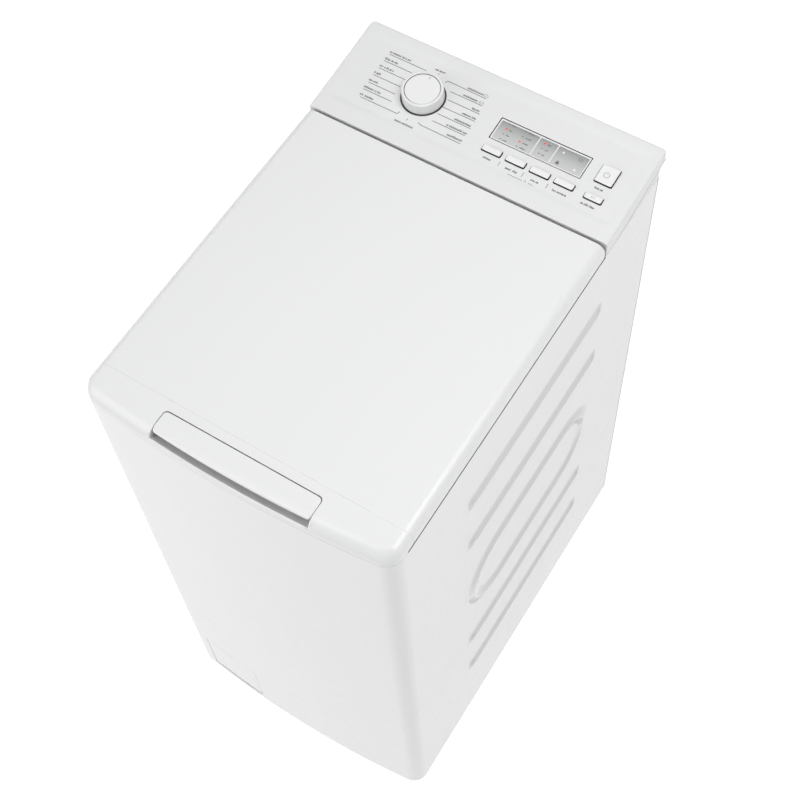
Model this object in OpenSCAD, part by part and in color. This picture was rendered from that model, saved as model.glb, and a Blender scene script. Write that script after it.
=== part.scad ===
// Narrow top load washing machine: a bowed steel cabinet, a hinged lid with a lift handle, a
// sloping control console, and inside it a sprung tub that carries a belt driven drum on a
// cross axle. X is across the machine, the front faces -Y, Z is up and the floor is z = 0.

/* [Cabinet] */
// Width over the flat side panels
cabinet_w = 400; // [399:0.5:401]
// Height of the top edge of the side panels
cabinet_h = 840; // [839:0.5:840]
// Height of the panels' bottom edge above the floor
skirt_z = 19; // [17:0.5:20]
// Where the flat of the front ends at its corners
front_y = -290.5; // [-292:0.5:-290]
// Outer face of the rear panel
rear_y = 286.5; // [286:0.5:287]
// Radius of the upright front corners
corner_r = 22; // [20:1:24]
// How far the front panel bows out between its corners
bow = 10; // [9:0.5:10]
// Thickness of the sheet steel
sheet = 1.2; // [1:0.1:1.3]

/* [Side beads] */
// Width of a raised stiffening bead
bead_w = 26; // [24:1:30]
// Height of a bead above the panel
bead_h = 3; // [2:0.5:4]
// Distance between the straight beads of a pair
bead_pitch = 107.6; // [104:0.2:112]
// Distance between the two legs of the closed loop
loop_pitch = 126.4; // [122:0.2:130]

/* [Lid and console] */
// Height of the lid's top face
lid_top = 862; // [861:0.5:862.5]
// Radius along the lid's side edges
lid_edge_r = 12; // [10:1:14]
// Line between the lid and its front strip
strip_y = -251.5; // [-254:0.5:-250]
// Height of the console's rear edge
console_top = 875; // [874:0.5:876]
// Rear face of the console
console_back = 300.5; // [300:0.5:301]
// Width of the lift handle
handle_w = 200; // [196:1:202]

/* [Controls] */
// Radius of the programme knob
knob_r = 25.6; // [24:0.1:26]
// Height of the programme knob
knob_h = 15; // [13:0.5:17]
// Size of an option button
option_button = [24.4, 8]; // [7:0.1:26]
// Travel of every button
button_travel = 1.5; // [1:0.1:1.5]

/* [Washing group] */
// Outer radius of the drum
drum_r = 228; // [226:0.5:229]
// Width of the drum
drum_w = 250; // [246:1:252]
// Inner radius of the tub
tub_r = 248; // [247:0.5:249]
// Wall of the tub
tub_wall = 4; // [3.5:0.5:4]
// Radius of the drum axle
axle_r = 12.5; // [12:0.5:12.5]
// Radius of the drum pulley
pulley_r = 140; // [138:1:142]
// Radius of the motor pulley
motor_pulley_r = 12; // [11:0.5:13]

/* [Hidden] */
$fn = 72;
e = 0.01;
gap = 0.3;

// Cabinet plan: a wide arc for the bowed front, closed by fillets at the two front corners
half_w = cabinet_w / 2;
fillet_x = half_w - corner_r;
bow_r = (fillet_x * fillet_x + bow * bow) / (2 * bow);
bow_y = front_y - bow + bow_r;
fillet_y = bow_y - sqrt(pow(bow_r - corner_r, 2) - fillet_x * fillet_x);
fillet_dir = [fillet_x, fillet_y - bow_y] / (bow_r - corner_r);
function bow_at(x) = bow_y - sqrt(bow_r * bow_r - x * x);

// Side beads
bead_front = -145.8;
bead_rear = 165.2;
bead_high = 732.5;
bead_low = 194.5;
bead_zs = [bead_high, bead_high - bead_pitch, bead_low + bead_pitch, bead_low];
loop_z = (bead_high + bead_low) / 2;

// Fascia: a plane that rises from the lid to the console's rear edge
fascia_y = 158.2;
fascia_z = 862;
fascia_rear = 297.5;
fascia_tilt = atan((console_top - fascia_z) / (fascia_rear - fascia_y));
fascia_t = 2.5;
recess = 1;
knob_at = [-86, 74.3];
display_at = [10.5, 61.3];
display_size = [120.5, 32];
option_x = [23.9, 55.6, 87.3, 118.9];
option_v = 46.8;
power_at = [156.7, 79.5];
power_size = [22, 25];
start_at = [156.8, 45.8];
start_size = [22, 8];
button_proud = 1.6;
button_stem = 6.5;

// Lid hinge, handle and latch
hinge_y = 151;
hinge_z = 856;
hinge_x = 150;
pin_r = 2;
lid_rear = 155.2;
lid_skin = 2.2;
seam = 1;
handle_rear = -264;
handle_pivot = [-267.5, 857.5];
roll_r = 18;
lip_z = 857.8;
finger_gap = 9.3;
latch_y = -262;

// Filter flap in the lower left of the front
flap_x = -121.5;
flap_w = 92.2;
flap_z = [36, 136.6];
flap_depth = 4.2;
flap_turn = asin(-flap_x / bow_r);

// Washing group: everything hangs on the drum axis, which runs across the machine
axle_y = -2;
axle_z = 445;
tub_w = 320;
chimney = 135;
chimney_top = 770;
throat = 122;
motor_at = [175, 150];
motor_r = 62;
pulley_x = 175;
pulley_w = 13;
belt_t = 4;
spring_at = [176, 150];
spring_z = [622, 764];
damper_at = [110, -98];
damper_r = 11;
rod_r = 5;
door_angle = 28.2;
door_hinge_r = drum_r + 1.8;
door_half_x = 101;

// Drain pump, in line behind the filter
pump_x = -121;
pump_z = 85;
hose_bend = 30;
pipe_x = -166;
outlet_z = pump_z - 18;
hose_z = 158;

foot_at = [165, 252];

// What the two rounded corners take off the plan
module corner_waste(inset) {
    for (m = [0, 1]) mirror([m, 0])
        difference() {
            polygon([
                [fillet_x, fillet_y],
                [fillet_x, fillet_y] + fillet_dir * (corner_r + 8),
                [half_w + 5, fillet_y - corner_r - 8],
                [half_w + 5, fillet_y],
            ]);
            translate([fillet_x, fillet_y]) circle(corner_r - inset);
        }
}

module plan(inset = 0, back = rear_y) {
    difference() {
        intersection() {
            translate([-half_w + inset, front_y - bow - 1])
                square([cabinet_w - 2 * inset, back - front_y + bow + 1]);
            translate([0, bow_y]) circle(bow_r - inset, $fn = 1440);
        }
        corner_waste(inset);
    }
}

// A round bar, disc or tube on a line parallel to X
module bar_x(x0, x1, r, y = axle_y, z = axle_z) {
    translate([x0, y, z]) rotate([0, 90, 0]) cylinder(h = x1 - x0, r = r, $fn = 96);
}

// The same parallel to Y
module bar_y(y0, y1, r, x, z) {
    translate([x, y0, z]) rotate([-90, 0, 0]) cylinder(h = y1 - y0, r = r);
}

module bar_z(z0, z1, r, x, y) {
    translate([x, y, z0]) cylinder(h = z1 - z0, r = r);
}

module box(low, high) {
    translate(low) cube(high - low);
}

// A flat shape drawn in Y and Z, extruded along X
module section_yz(x0, x1) {
    translate([x0, 0, 0]) rotate([90, 0, 90]) linear_extrude(x1 - x0) children();
}

// A flat shape drawn in X and Z, extruded along Y
module section_xz(y0, y1) {
    translate([0, y1, 0]) rotate([90, 0, 0]) linear_extrude(y1 - y0) children();
}

module rounded(size, r) {
    translate([r, 0]) square([size.x - 2 * r, size.y]);
    translate([0, r]) square([size.x, size.y - 2 * r]);
    for (x = [r, size.x - r], y = [r, size.y - r]) translate([x, y]) circle(r);
}

module stadium(a, b, z, r) {
    translate([a + r, z - r]) square([b - a - 2 * r, 2 * r]);
    for (y = [a + r, b - r]) translate([y, z]) circle(r);
}

// ---------------------------------------------------------------- cabinet

module bead_shapes(w) {
    trim = (bead_w - w) / 2;
    for (z = bead_zs) stadium(bead_front + trim, bead_rear - trim, z, w / 2);
    difference() {
        stadium(bead_front + trim, bead_rear - trim, loop_z, (loop_pitch + w) / 2);
        stadium(bead_front + bead_w - trim, bead_rear - bead_w + trim, loop_z,
                (loop_pitch - w) / 2);
    }
}

module cabinet_wrap() color("white") {
    flange = 16;
    back = rear_y - sheet;
    difference() {
        union() {
            translate([0, 0, skirt_z]) linear_extrude(cabinet_h - skirt_z)
                difference() {
                    plan(0, back);
                    plan(sheet, back - sheet);
                    translate([flange - half_w, back - 10]) square([cabinet_w - 2 * flange, 20]);
                }
            for (m = [0, 1]) mirror([m, 0, 0])
                section_yz(half_w - e, half_w + bead_h) bead_shapes(bead_w);
        }
        for (m = [0, 1]) mirror([m, 0, 0])
            section_yz(half_w - sheet - e, half_w + bead_h - sheet)
                bead_shapes(bead_w - 2 * sheet);
        at_flap()
            box([-flap_w / 2 - 0.4, -8, flap_z[0] - 4.8], [flap_w / 2 + 0.4, 14, flap_z[1] + 0.4]);
        screw_places() rotate([-90, 0, 0]) cylinder(h = 30, r = 2, center = true);
    }
}

// Where the rear panel is screwed to the cabinet's flanges
module screw_places() {
    for (x = [-190, 190], z = [60, 260, 460, 660, 810]) translate([x, rear_y, z]) children();
}

module rear_panel() color("gainsboro") {
    difference() {
        box([-half_w, rear_y - sheet, skirt_z], [half_w, rear_y, cabinet_h]);
        screw_places() rotate([-90, 0, 0]) cylinder(h = 10, r = 2.1, center = true);
        bar_y(rear_y - 5, rear_y + 5, 15, 150, 790);
        bar_y(rear_y - 5, rear_y + 5, 12.6, pipe_x, outlet_z);
        bar_y(rear_y - 5, rear_y + 5, 9, -150, 790);
        for (i = [-4:4]) translate([i * 16, 0, 0])
            section_xz(rear_y - 5, rear_y + 5) translate([-3, 700]) rounded([6, 60], 2.9);
    }
}

module panel_screws() color("silver") {
    screw_places() rotate([-90, 0, 0]) {
        difference() {
            cylinder(h = 1.8, r = 4);
            translate([-3, -0.5, 0.9]) cube([6, 1, 1]);
            translate([-0.5, -3, 0.9]) cube([1, 6, 1]);
        }
        translate([0, 0, -12]) cylinder(h = 12 + e, r = 1.95);
    }
}

module base_tray() color("dimgray") {
    rim = 2.5;
    outer = sheet + gap;
    back = rear_y - 2 * sheet - gap;
    difference() {
        union() {
            translate([0, 0, 22]) linear_extrude(3) plan(outer, back);
            translate([0, 0, 22]) linear_extrude(26) difference() {
                plan(outer, back);
                plan(outer + rim, back - rim);
            }
            for (x = [-1, 1], y = [-1, 1]) bar_z(22, 44, 11, x * foot_at.x, y * foot_at.y);
            for (s = [-1, 1]) bar_z(24, 32, 16, s * damper_at.x, axle_y + s * damper_at.y);
            box([pump_x - 40, -236, 24], [pump_x + 40, -228, 52]);
            box([pump_x - 40, -152, 24], [pump_x + 40, -144, 56]);
            at_flap() for (x = [-1, 1] * (flap_w / 2 + 2.1))
                box([x - 1.3, 2.3, 24], [x + 1.3, 9, 40]);
        }
        for (x = [-1, 1]) bar_z(0, 50, 4.05, x * foot_at.x, -foot_at.y);
        for (x = [-1, 1]) bar_z(0, 50, 4, x * foot_at.x, foot_at.y);
        at_flap() {
            box([-flap_w / 2 - 1, -8, 29], [flap_w / 2 + 1, 14, 60]);
            translate([0, flap_depth, flap_z[0]]) rotate([0, 90, 0])
                cylinder(h = flap_w + 8, r = 1.05, center = true);
        }
        bar_y(-240, -140, 31.2, pump_x, pump_z);
    }
}

module foot(x, y) {
    translate([x, y, 0]) {
        cylinder(h = 7, r = 17);
        translate([0, 0, 7 - e]) cylinder(h = 8, r = 11, $fn = 6);
        cylinder(h = 42, r = 4);
    }
}

module rear_feet() color("#303234") for (s = [-1, 1]) foot(s * foot_at.x, foot_at.y);
module foot_front_left() color("#303234") foot(-foot_at.x, -foot_at.y);
module foot_front_right() color("#303234") foot(foot_at.x, -foot_at.y);

module top_frame() color("whitesmoke") {
    outer = sheet + gap;
    back = rear_y - 2 * sheet - gap;
    difference() {
        union() {
            translate([0, 0, 832]) linear_extrude(3) plan(outer, back);
            translate([0, 0, 815]) linear_extrude(23.5) difference() {
                plan(outer, back);
                plan(outer + 2.5, back - 2.5);
            }
            box([-throat - 3, axle_y - throat - 3, 806], [throat + 3, axle_y + throat + 3, 838]);
            for (s = [-1, 1]) translate([s * hinge_x - 3, 0, 0]) {
                box([0, hinge_y - 3.4, 834], [6, hinge_y + 2.2, hinge_z]);
                translate([-s * hinge_x + 3, 0, 0])
                    bar_x(s * hinge_x - 3, s * hinge_x + 3, 3.4, hinge_y, hinge_z);
            }
        }
        box([-throat, axle_y - throat, 800], [throat, axle_y + throat, 845]);
        box([-106.5, -237.5, 820], [106.5, -143.5, 845]);
        box([-21, latch_y - 12, 800], [21, latch_y + 5, 845]);
        for (s = [-1, 1]) bar_x(s * hinge_x - 20, s * hinge_x + 20, pin_r + 0.02, hinge_y, hinge_z);
    }
}

module lid_hinge_pins() color("silver")
    for (s = [-1, 1]) bar_x(s * hinge_x - 8, s * hinge_x + 8, pin_r, hinge_y, hinge_z);

module door_lock() color("#e8e8e6") {
    difference() {
        box([-30, latch_y - 16, 790], [30, latch_y + 9, 831.7]);
        box([-21, latch_y - 12, 797], [21, latch_y + 5, 845]);
    }
    bar_x(-21, 21, 2.2, latch_y + 3.4, 808);
}

module detergent_tray() color("#dfe6ea") {
    low = [-105, -236, 795];
    high = [105, -145, 832];
    difference() {
        union() {
            box(low, high);
            box([low.x - 4, low.y - 4, 835], [high.x + 4, high.y + 4, 837.5]);
            box([low.x, low.y, 831], [high.x, high.y, 836]);
        }
        for (c = [[-103, -37], [-35, 35], [37, 103]])
            box([c[0], low.y + 2, low.z + 2], [c[1], high.y - 2, 845]);
    }
}

module spring_hangers() color("silver")
    for (x = [-1, 1], y = [-1, 1])
        translate([x * spring_at.x, axle_y + y * spring_at.y, 0]) {
            box([x < 0 ? -22.8 : -10, -9, spring_z[1] + 6],
                [x < 0 ? 10 : 22.8, 9, spring_z[1] + 9]);
            box([x < 0 ? -22.8 : 20, -9, spring_z[1] - 16],
                [x < 0 ? -20 : 22.8, 9, spring_z[1] + 9]);
            bar_z(spring_z[1], spring_z[1] + 7, 2.5, 0, 0);
        }

// Points of one turn ring of a coil spring, and the closed tube through all of them
function coil_ring(t, r, wire, sides) = [
    for (i = [0:sides - 1])
        let (a = 360 * i / sides, d = r + wire * cos(a))
            [d * cos(360 * t), d * sin(360 * t), wire * sin(a)]
];

module coil(r, wire, height, turns) {
    sides = 5;
    steps = turns * 10;
    rise = height - 2 * wire;
    points = [
        for (k = [0:steps])
            for (p = coil_ring(k / 10, r, wire, sides)) p + [0, 0, wire + rise * k / steps]
    ];
    walls = [
        for (k = [0:steps - 1], i = [0:sides - 1])
            let (a = k * sides + i, b = k * sides + (i + 1) % sides)
                [a, a + sides, b + sides, b]
    ];
    polyhedron(points, concat(
        walls, [[for (i = [0:sides - 1]) i]],
        [[for (i = [sides - 1:-1:0]) steps * sides + i]]
    ), convexity = 10);
}

module suspension_springs() color("gray")
    for (x = [-1, 1], y = [-1, 1])
        translate([x * spring_at.x, axle_y + y * spring_at.y, spring_z[0]])
            coil(8, 1.5, spring_z[1] - spring_z[0], 8);

// A square frame round the loading opening, from one half width to another
module square_ring(low, high, inner, outer) {
    difference() {
        box([-outer, axle_y - outer, chimney_top + low], [outer, axle_y + outer, chimney_top + high]);
        box([-inner, axle_y - inner, chimney_top + low - 1],
            [inner, axle_y + inner, chimney_top + high + 1]);
    }
}

module bellows() color("#9a9c9e") {
    square_ring(0, 5, 131, 139);
    square_ring(5 - e, 16, 131, 134);
    square_ring(16 - e, 20, 125.5, 134);
    square_ring(20 - e, 30, 125.5, 128.5);
    square_ring(30 - e, 34, 125.5, 134);
    square_ring(34 - e, 42, 131, 134);
    square_ring(42 - e, 48, 125.5, 134);
}

// ---------------------------------------------------------------- console

module on_fascia() {
    translate([0, fascia_y, fascia_z]) rotate([fascia_tilt, 0, 0]) children();
}

// Side view of the console's outer skin, drawn in Y and Z
module console_side(inset = 0) {
    i = inset;
    k = i * 0.13;
    polygon([
        [fascia_y + i, 840.2 + i],
        [fascia_y + i, fascia_z - i + k],
        [fascia_rear - i / 2, console_top - i - k / 2],
        [console_back - i, console_top - 3 - i / 2],
        [console_back - i, 860.4 + i],
        [190 + k, 840.2 + i],
    ]);
}

module console_fascia() color("#f4f4f2") {
    wall = fascia_t;
    difference() {
        section_yz(-half_w, half_w) console_side();
        section_yz(wall - half_w, half_w - wall) console_side(wall + recess);
        on_fascia() translate([-188, 23, -recess]) linear_extrude(5) rounded([378, 105], 8);
        on_fascia() translate([knob_at.x, knob_at.y, -8]) cylinder(h = 12, r = 6);
        on_fascia() translate([display_at.x, display_at.y, -8])
            linear_extrude(12) square(display_size);
        for (x = option_x) button_hole([x, option_v], option_button);
        button_hole(power_at, power_size);
        button_hole(start_at, start_size);
        box([-180, fascia_y - 1, 838], [180, 176, 846]);
        for (s = [-1, 1])
            box([s * hinge_x - 12, fascia_y - 1, 838], [s * hinge_x + 12, fascia_y + 3, 852]);
    }
}

module button_hole(at, size) {
    on_fascia() translate([at.x - size.x / 2 - 0.25, at.y - size.y / 2 - 0.25, -9])
        linear_extrude(14) square([size.x + 0.5, size.y + 0.5]);
}

module button(at, size) {
    on_fascia() translate([at.x, at.y, 0]) {
        translate([-size.x / 2, -size.y / 2, -button_stem]) linear_extrude(button_stem + button_proud)
            rounded(size, 1);
        translate([-size.x / 2 - 1, -size.y / 2 - 1, -button_stem])
            linear_extrude(1.8) rounded([size.x + 2, size.y + 2], 1);
    }
}

module temperature_button() color("white") button([option_x[0], option_v], option_button);
module spin_button() color("white") button([option_x[1], option_v], option_button);
module rinse_button() color("white") button([option_x[2], option_v], option_button);
module delay_button() color("white") button([option_x[3], option_v], option_button);
module power_button() color("white") button(power_at, power_size);
module start_button() color("white") button(start_at, start_size);

module console_base() color("#eeeeec") {
    difference() {
        section_yz(-half_w + 0.4, half_w - 0.4)
            polygon([[191, 840], [rear_y, 857.6], [rear_y, 840]]);
        section_yz(-half_w + 4, half_w - 4)
            polygon([[218, 842], [rear_y - 3, 854], [rear_y - 3, 842]]);
        box([-half_w + 20, 230, 830], [half_w - 20, rear_y - 12, 900]);
    }
}

module display_window() color("#b9bcbb")
    on_fascia() translate([display_at.x + 0.2, display_at.y + 0.2, -3.4])
        linear_extrude(2) rounded([display_size.x - 0.4, display_size.y - 0.4], 1);

module control_board() color("#2f6b45") {
    on_fascia() {
        translate([2, 24, -13.5]) cube([178, 80, 1.6]);
        for (x = option_x) translate([x - 3, option_v - 3, -12]) cube([6, 6, 3.4]);
        translate([power_at.x - 3, power_at.y - 3, -12]) cube([6, 6, 3.4]);
        translate([start_at.x - 3, start_at.y - 3, -12]) cube([6, 6, 3.4]);
        translate([display_at.x + 4, display_at.y + 1, -12]) cube([112, 30, 7]);
    }
}

module program_switch() color("#3a3d40")
    on_fascia() translate([knob_at.x, knob_at.y, 0]) difference() {
        union() {
            translate([-11, -11, -14]) cube([22, 22, 8]);
            translate([0, 0, -8]) cylinder(h = 5, r = 5);
        }
        translate([0, 0, -13]) cylinder(h = 20, r = 3.05);
    }

module program_knob() color("#ececea")
    on_fascia() translate([knob_at.x, knob_at.y, 0]) {
        rotate_extrude() polygon([
            [0, -0.6], [knob_r + 1.2, -0.6], [knob_r + 1.2, 1.4], [knob_r, 2.2],
            [knob_r, knob_h - 2], [knob_r - 0.8, knob_h - 0.6], [knob_r - 2.2, knob_h],
            [knob_r - 3.2, knob_h - 1.2], [0, knob_h - 1.2],
        ]);
        translate([0, 0, -12.5]) cylinder(h = 12.5, r = 3);
        translate([-0.8, knob_r - 9, knob_h - 1.3]) cube([1.6, 5.5, 0.6]);
    }

// ---------------------------------------------------------------- lid

// Cross section of the lid with its rounded side edges, drawn in X and Z
module lid_section(inset = 0) {
    r = lid_edge_r - inset;
    w = half_w - inset;
    low = cabinet_h + seam;
    translate([-w, low - (inset > 0 ? 5 : 0)])
        square([2 * w, lid_top - inset - r - low + (inset > 0 ? 5 : 0)]);
    translate([-w + r, lid_top - inset - r - e]) square([2 * (w - r), r + e]);
    for (s = [-1, 1]) translate([s * (w - r), lid_top - inset - r]) circle(r);
}

module lid_panel() color("#f6f6f4") {
    nose = 2;
    difference() {
        union() {
            section_xz(strip_y + 0.2, lid_rear - nose) lid_section();
            intersection() {
                section_xz(lid_rear - 6, lid_rear) lid_section();
                union() {
                    box([-half_w, lid_rear - 6, 800], [half_w, lid_rear, lid_top - nose]);
                    bar_x(-half_w, half_w, nose, lid_rear - nose, lid_top - nose);
                }
            }
        }
        section_xz(strip_y - 1, lid_rear + 5) lid_section(lid_skin);
    }
    // front and rear edge walls, and the lugs around the hinge pins
    intersection() {
        section_xz(strip_y, lid_rear) lid_section(lid_skin / 2);
        union() {
            box([-half_w, strip_y + 0.2, 846], [half_w, strip_y + 2.4, lid_top]);
            box([-half_w, lid_rear - 1.8, hinge_z + 3], [half_w, lid_rear - 0.3, lid_top - 1.4]);
        }
    }
    for (s = [-1, 1], d = [-1, 1]) {
        x = s * hinge_x + d * 5.3;
        difference() {
            union() {
                bar_x(x - 1.5, x + 1.5, 3.7, hinge_y, hinge_z);
                box([x - 1.5, hinge_y - 8, hinge_z - 1], [x + 1.5, hinge_y + 2.6, lid_top - 1.2]);
            }
            bar_x(x - 3, x + 3, pin_r + 0.05, hinge_y, hinge_z);
        }
    }
}

// A section swept along the bowed front: x is the depth behind the bow, y is the height
module bow_sweep() {
    span = 16;
    translate([0, bow_y, 0]) rotate([0, 0, 270 - span / 2])
        rotate_extrude(angle = span, $fn = 1440) translate([bow_r, 0]) mirror([1, 0]) children();
}

// The lid's front edge, which rolls over from the top face to the front face
module front_roll(inset, low, depth) {
    r = roll_r - inset;
    top = lid_top - inset;
    translate([roll_r - e, low]) square([depth - roll_r, top - low]);
    if (low < top - r) translate([inset, low]) square([roll_r - inset, top - r - low]);
    intersection() {
        translate([roll_r, top - r]) circle(r, $fn = 72);
        translate([0, low]) square([roll_r, top - low]);
    }
}

// What the rounded side edges take off the strip, in flats, drawn in X and Z
module side_waste() {
    mid = [half_w - lid_edge_r, lid_top - lid_edge_r];
    far = lid_edge_r + 5;
    for (m = [0, 1]) mirror([m, 0]) polygon(concat(
        [for (a = [0:15:90]) mid + lid_edge_r * [cos(a), sin(a)]],
        [mid + [0, far], mid + [far, far], mid + [far, 0]]
    ));
}

module lid_front_strip() color("#f6f6f4") {
    low = cabinet_h + seam;
    slot = handle_w / 2 + 1;
    difference() {
        intersection() {
            box([-half_w, front_y - bow - 2, low], [half_w, strip_y - 0.2, 900]);
            bow_sweep() front_roll(0, low, 80);
        }
        translate([0, 0, 800]) linear_extrude(100) corner_waste(0);
        section_xz(front_y - bow - 5, strip_y + 5) side_waste();
        intersection() {
            box([7 - half_w, front_y - bow, 800], [half_w - 7, strip_y + 9, 900]);
            bow_sweep() front_roll(lid_skin, 820, 90);
        }
        box([-slot, front_y - bow - 5, lip_z - finger_gap], [slot, handle_rear + 1.2, 900]);
    }
    // floor and cheeks of the finger recess, and the latch tongue
    difference() {
        union() {
            intersection() {
                box([-slot, front_y - bow, low + 1], [slot, strip_y - 6, low + 3]);
                translate([0, 0, 800]) linear_extrude(100) plan(1, strip_y);
            }
            for (s = [-1, 1])
                box([s * (slot + 1) - 1, front_y + 1, low + 1],
                    [s * (slot + 1) + 1, strip_y - 6, lid_top - 1.5]);
            box([-slot, handle_rear + 1.2, low + 1], [slot, handle_rear + 3.2, lid_top - 1.5]);
            box([-14, latch_y - 1, 812], [14, latch_y + 1, low + 3]);
        }
        bar_x(-half_w, half_w, 1.55, handle_pivot[0], handle_pivot[1]);
    }
}

module lid_inner() color("#e9e9e7") {
    difference() {
        box([-184, strip_y + 12, 844], [184, 136, 856]);
        box([-181, strip_y + 15, 846.5], [181, 133, 857]);
    }
    for (x = [-120, -60, 0, 60, 120])
        box([x - 1, strip_y + 14, 846], [x + 1, 134, lid_top - lid_skin - 0.3]);
}

module lid_handle() color("#fafafa") {
    intersection() {
        bow_sweep() difference() {
            front_roll(0, lip_z, 60);
            front_roll(lid_skin, lip_z - 1, 70);
        }
        box([-handle_w / 2, front_y - bow - 5, 840], [handle_w / 2, handle_rear, 880]);
    }
    bar_x(-handle_w / 2, handle_w / 2, 2.8, handle_pivot[0], handle_pivot[1]);
    bar_x(-handle_w / 2 - 2.6, handle_w / 2 + 2.6, 1.5, handle_pivot[0], handle_pivot[1]);
    for (x = [-60, -20, 20, 60])
        box([x - 1, front_y + 8, handle_pivot[1]], [x + 1, handle_pivot[0], lid_top - 1]);
}

// ---------------------------------------------------------------- filter, pump and water parts

module at_flap() {
    translate([flap_x, bow_at(flap_x), 0]) rotate([0, 0, -flap_turn]) children();
}

module filter_flap() color("#f2f2f0") {
    intersection() {
        translate([0, 0, flap_z[0]]) linear_extrude(flap_z[1] - flap_z[0]) difference() {
            plan(0);
            plan(2.5);
        }
        at_flap() box([-flap_w / 2, -8, 0], [flap_w / 2, 14, 200]);
    }
    at_flap() translate([0, flap_depth, flap_z[0]]) rotate([0, 90, 0]) {
        cylinder(h = flap_w, r = 3.5, center = true);
        cylinder(h = flap_w + 6, r = 1, center = true);
    }
}

module pump_housing() color("#d9d9d6") {
    difference() {
        union() {
            bar_y(-268, -150, 31, pump_x, pump_z);
            bar_y(-270, -262, 36, pump_x, pump_z);
            bar_z(pump_z, hose_z - hose_bend, 15, pump_x, -205);
            bar_x(-161, pump_x, 9, -165, outlet_z);
        }
        bar_y(-271, -188, 28, pump_x, pump_z);
        bar_y(-189, -154, 24, pump_x, pump_z);
        bar_y(-155, -149, 2.05, pump_x, pump_z);
        bar_z(pump_z + 10, 140, 12, pump_x, -205);
        bar_x(-162, pump_x, 7, -165, outlet_z);
    }
}

module pump_motor() color("#4a4d50") {
    difference() {
        bar_y(-150, -104, 26, pump_x, pump_z);
        bar_y(-151, -110, 2.05, pump_x, pump_z);
    }
}

module pump_impeller() color("#e6e6e0") {
    bar_y(-170, -112, 2, pump_x, pump_z);
    translate([pump_x, -182, pump_z]) rotate([-90, 0, 0]) {
        cylinder(h = 20, r = 5);
        for (i = [0:4]) rotate([0, 0, 72 * i]) translate([3.5, -1, 3]) cube([17.5, 2, 15]);
    }
}

module drain_filter() color("#2e6fa8") {
    difference() {
        union() {
            bar_y(-277, -270.4, 33, pump_x, pump_z);
            bar_y(-271, -200, 26, pump_x, pump_z);
            translate([pump_x - 22, -286, pump_z - 4]) cube([44, 10, 8]);
        }
        bar_y(-262, -199, 23, pump_x, pump_z);
        for (a = [45:90:315]) translate([pump_x, -255, pump_z]) rotate([0, a, 0])
            translate([-6, 0, 10]) cube([12, 40, 30]);
        bar_z(pump_z, 134, 13, pump_x, -205);
    }
}

// A quarter bend of hose in the Y-Z plane, starting at the angle given
module elbow(bend, tube, start) {
    rotate([start, 0, 0]) rotate([90, 0, 90]) rotate_extrude(angle = 90)
        translate([bend, 0]) difference() {
            circle(tube[0]);
            circle(tube[1]);
        }
}

module hose_y(y0, y1, tube, z) {
    difference() {
        bar_y(y0, y1, tube[0], pump_x, z);
        bar_y(y0 - 1, y1 + 1, tube[1], pump_x, z);
    }
}

module sump_hose() color("#2a2b2c") {
    tube = [18, 15.1];
    down_y = -205 + hose_bend;
    up_y = -70 - hose_bend;
    hose_y(down_y, up_y, tube, hose_z);
    translate([pump_x, up_y, hose_z + hose_bend]) elbow(hose_bend, tube, -90);
    translate([pump_x, down_y, hose_z - hose_bend]) elbow(hose_bend, tube, 90);
    difference() {
        bar_z(116, hose_z - hose_bend, tube[0], pump_x, -205);
        bar_z(115, hose_z - hose_bend + 1, tube[1], pump_x, -205);
    }
}

module drain_pipe() color("#8d9092") {
    difference() {
        union() {
            bar_y(-177, 299.5, 10, pipe_x, outlet_z);
            bar_y(rear_y - 8, rear_y + 1.5, 12.5, pipe_x, outlet_z);
            bar_x(pipe_x, -151, 11, -165, outlet_z);
        }
        bar_y(-174, 300, 8, pipe_x, outlet_z);
        bar_x(pipe_x, -150, 9.02, -165, outlet_z);
    }
}

module inlet_valve() color("#e4e4e0") {
    difference() {
        union() {
            bar_y(rear_y - 30, rear_y + 1, 14.6, 150, 790);
            bar_y(rear_y, 299.5, 13.2, 150, 790);
            box([133, rear_y - 60, 772], [167, rear_y - 22, 812]);
        }
        bar_y(rear_y - 20, 300, 8, 150, 790);
    }
}

module mains_gland() color("#36383a") {
    difference() {
        union() {
            bar_y(rear_y - 8, rear_y + 6, 8.8, -150, 790);
            bar_y(rear_y, rear_y + 3, 13, -150, 790);
        }
        bar_y(rear_y - 9, rear_y + 7, 4.2, -150, 790);
    }
}

module pressure_switch() color("#eceae2") {
    bar_y(rear_y - 30, rear_y - sheet, 24, -90, 790);
    bar_y(rear_y - 42, rear_y - 30 + e, 10, -90, 790);
}

// ---------------------------------------------------------------- tub

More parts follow.
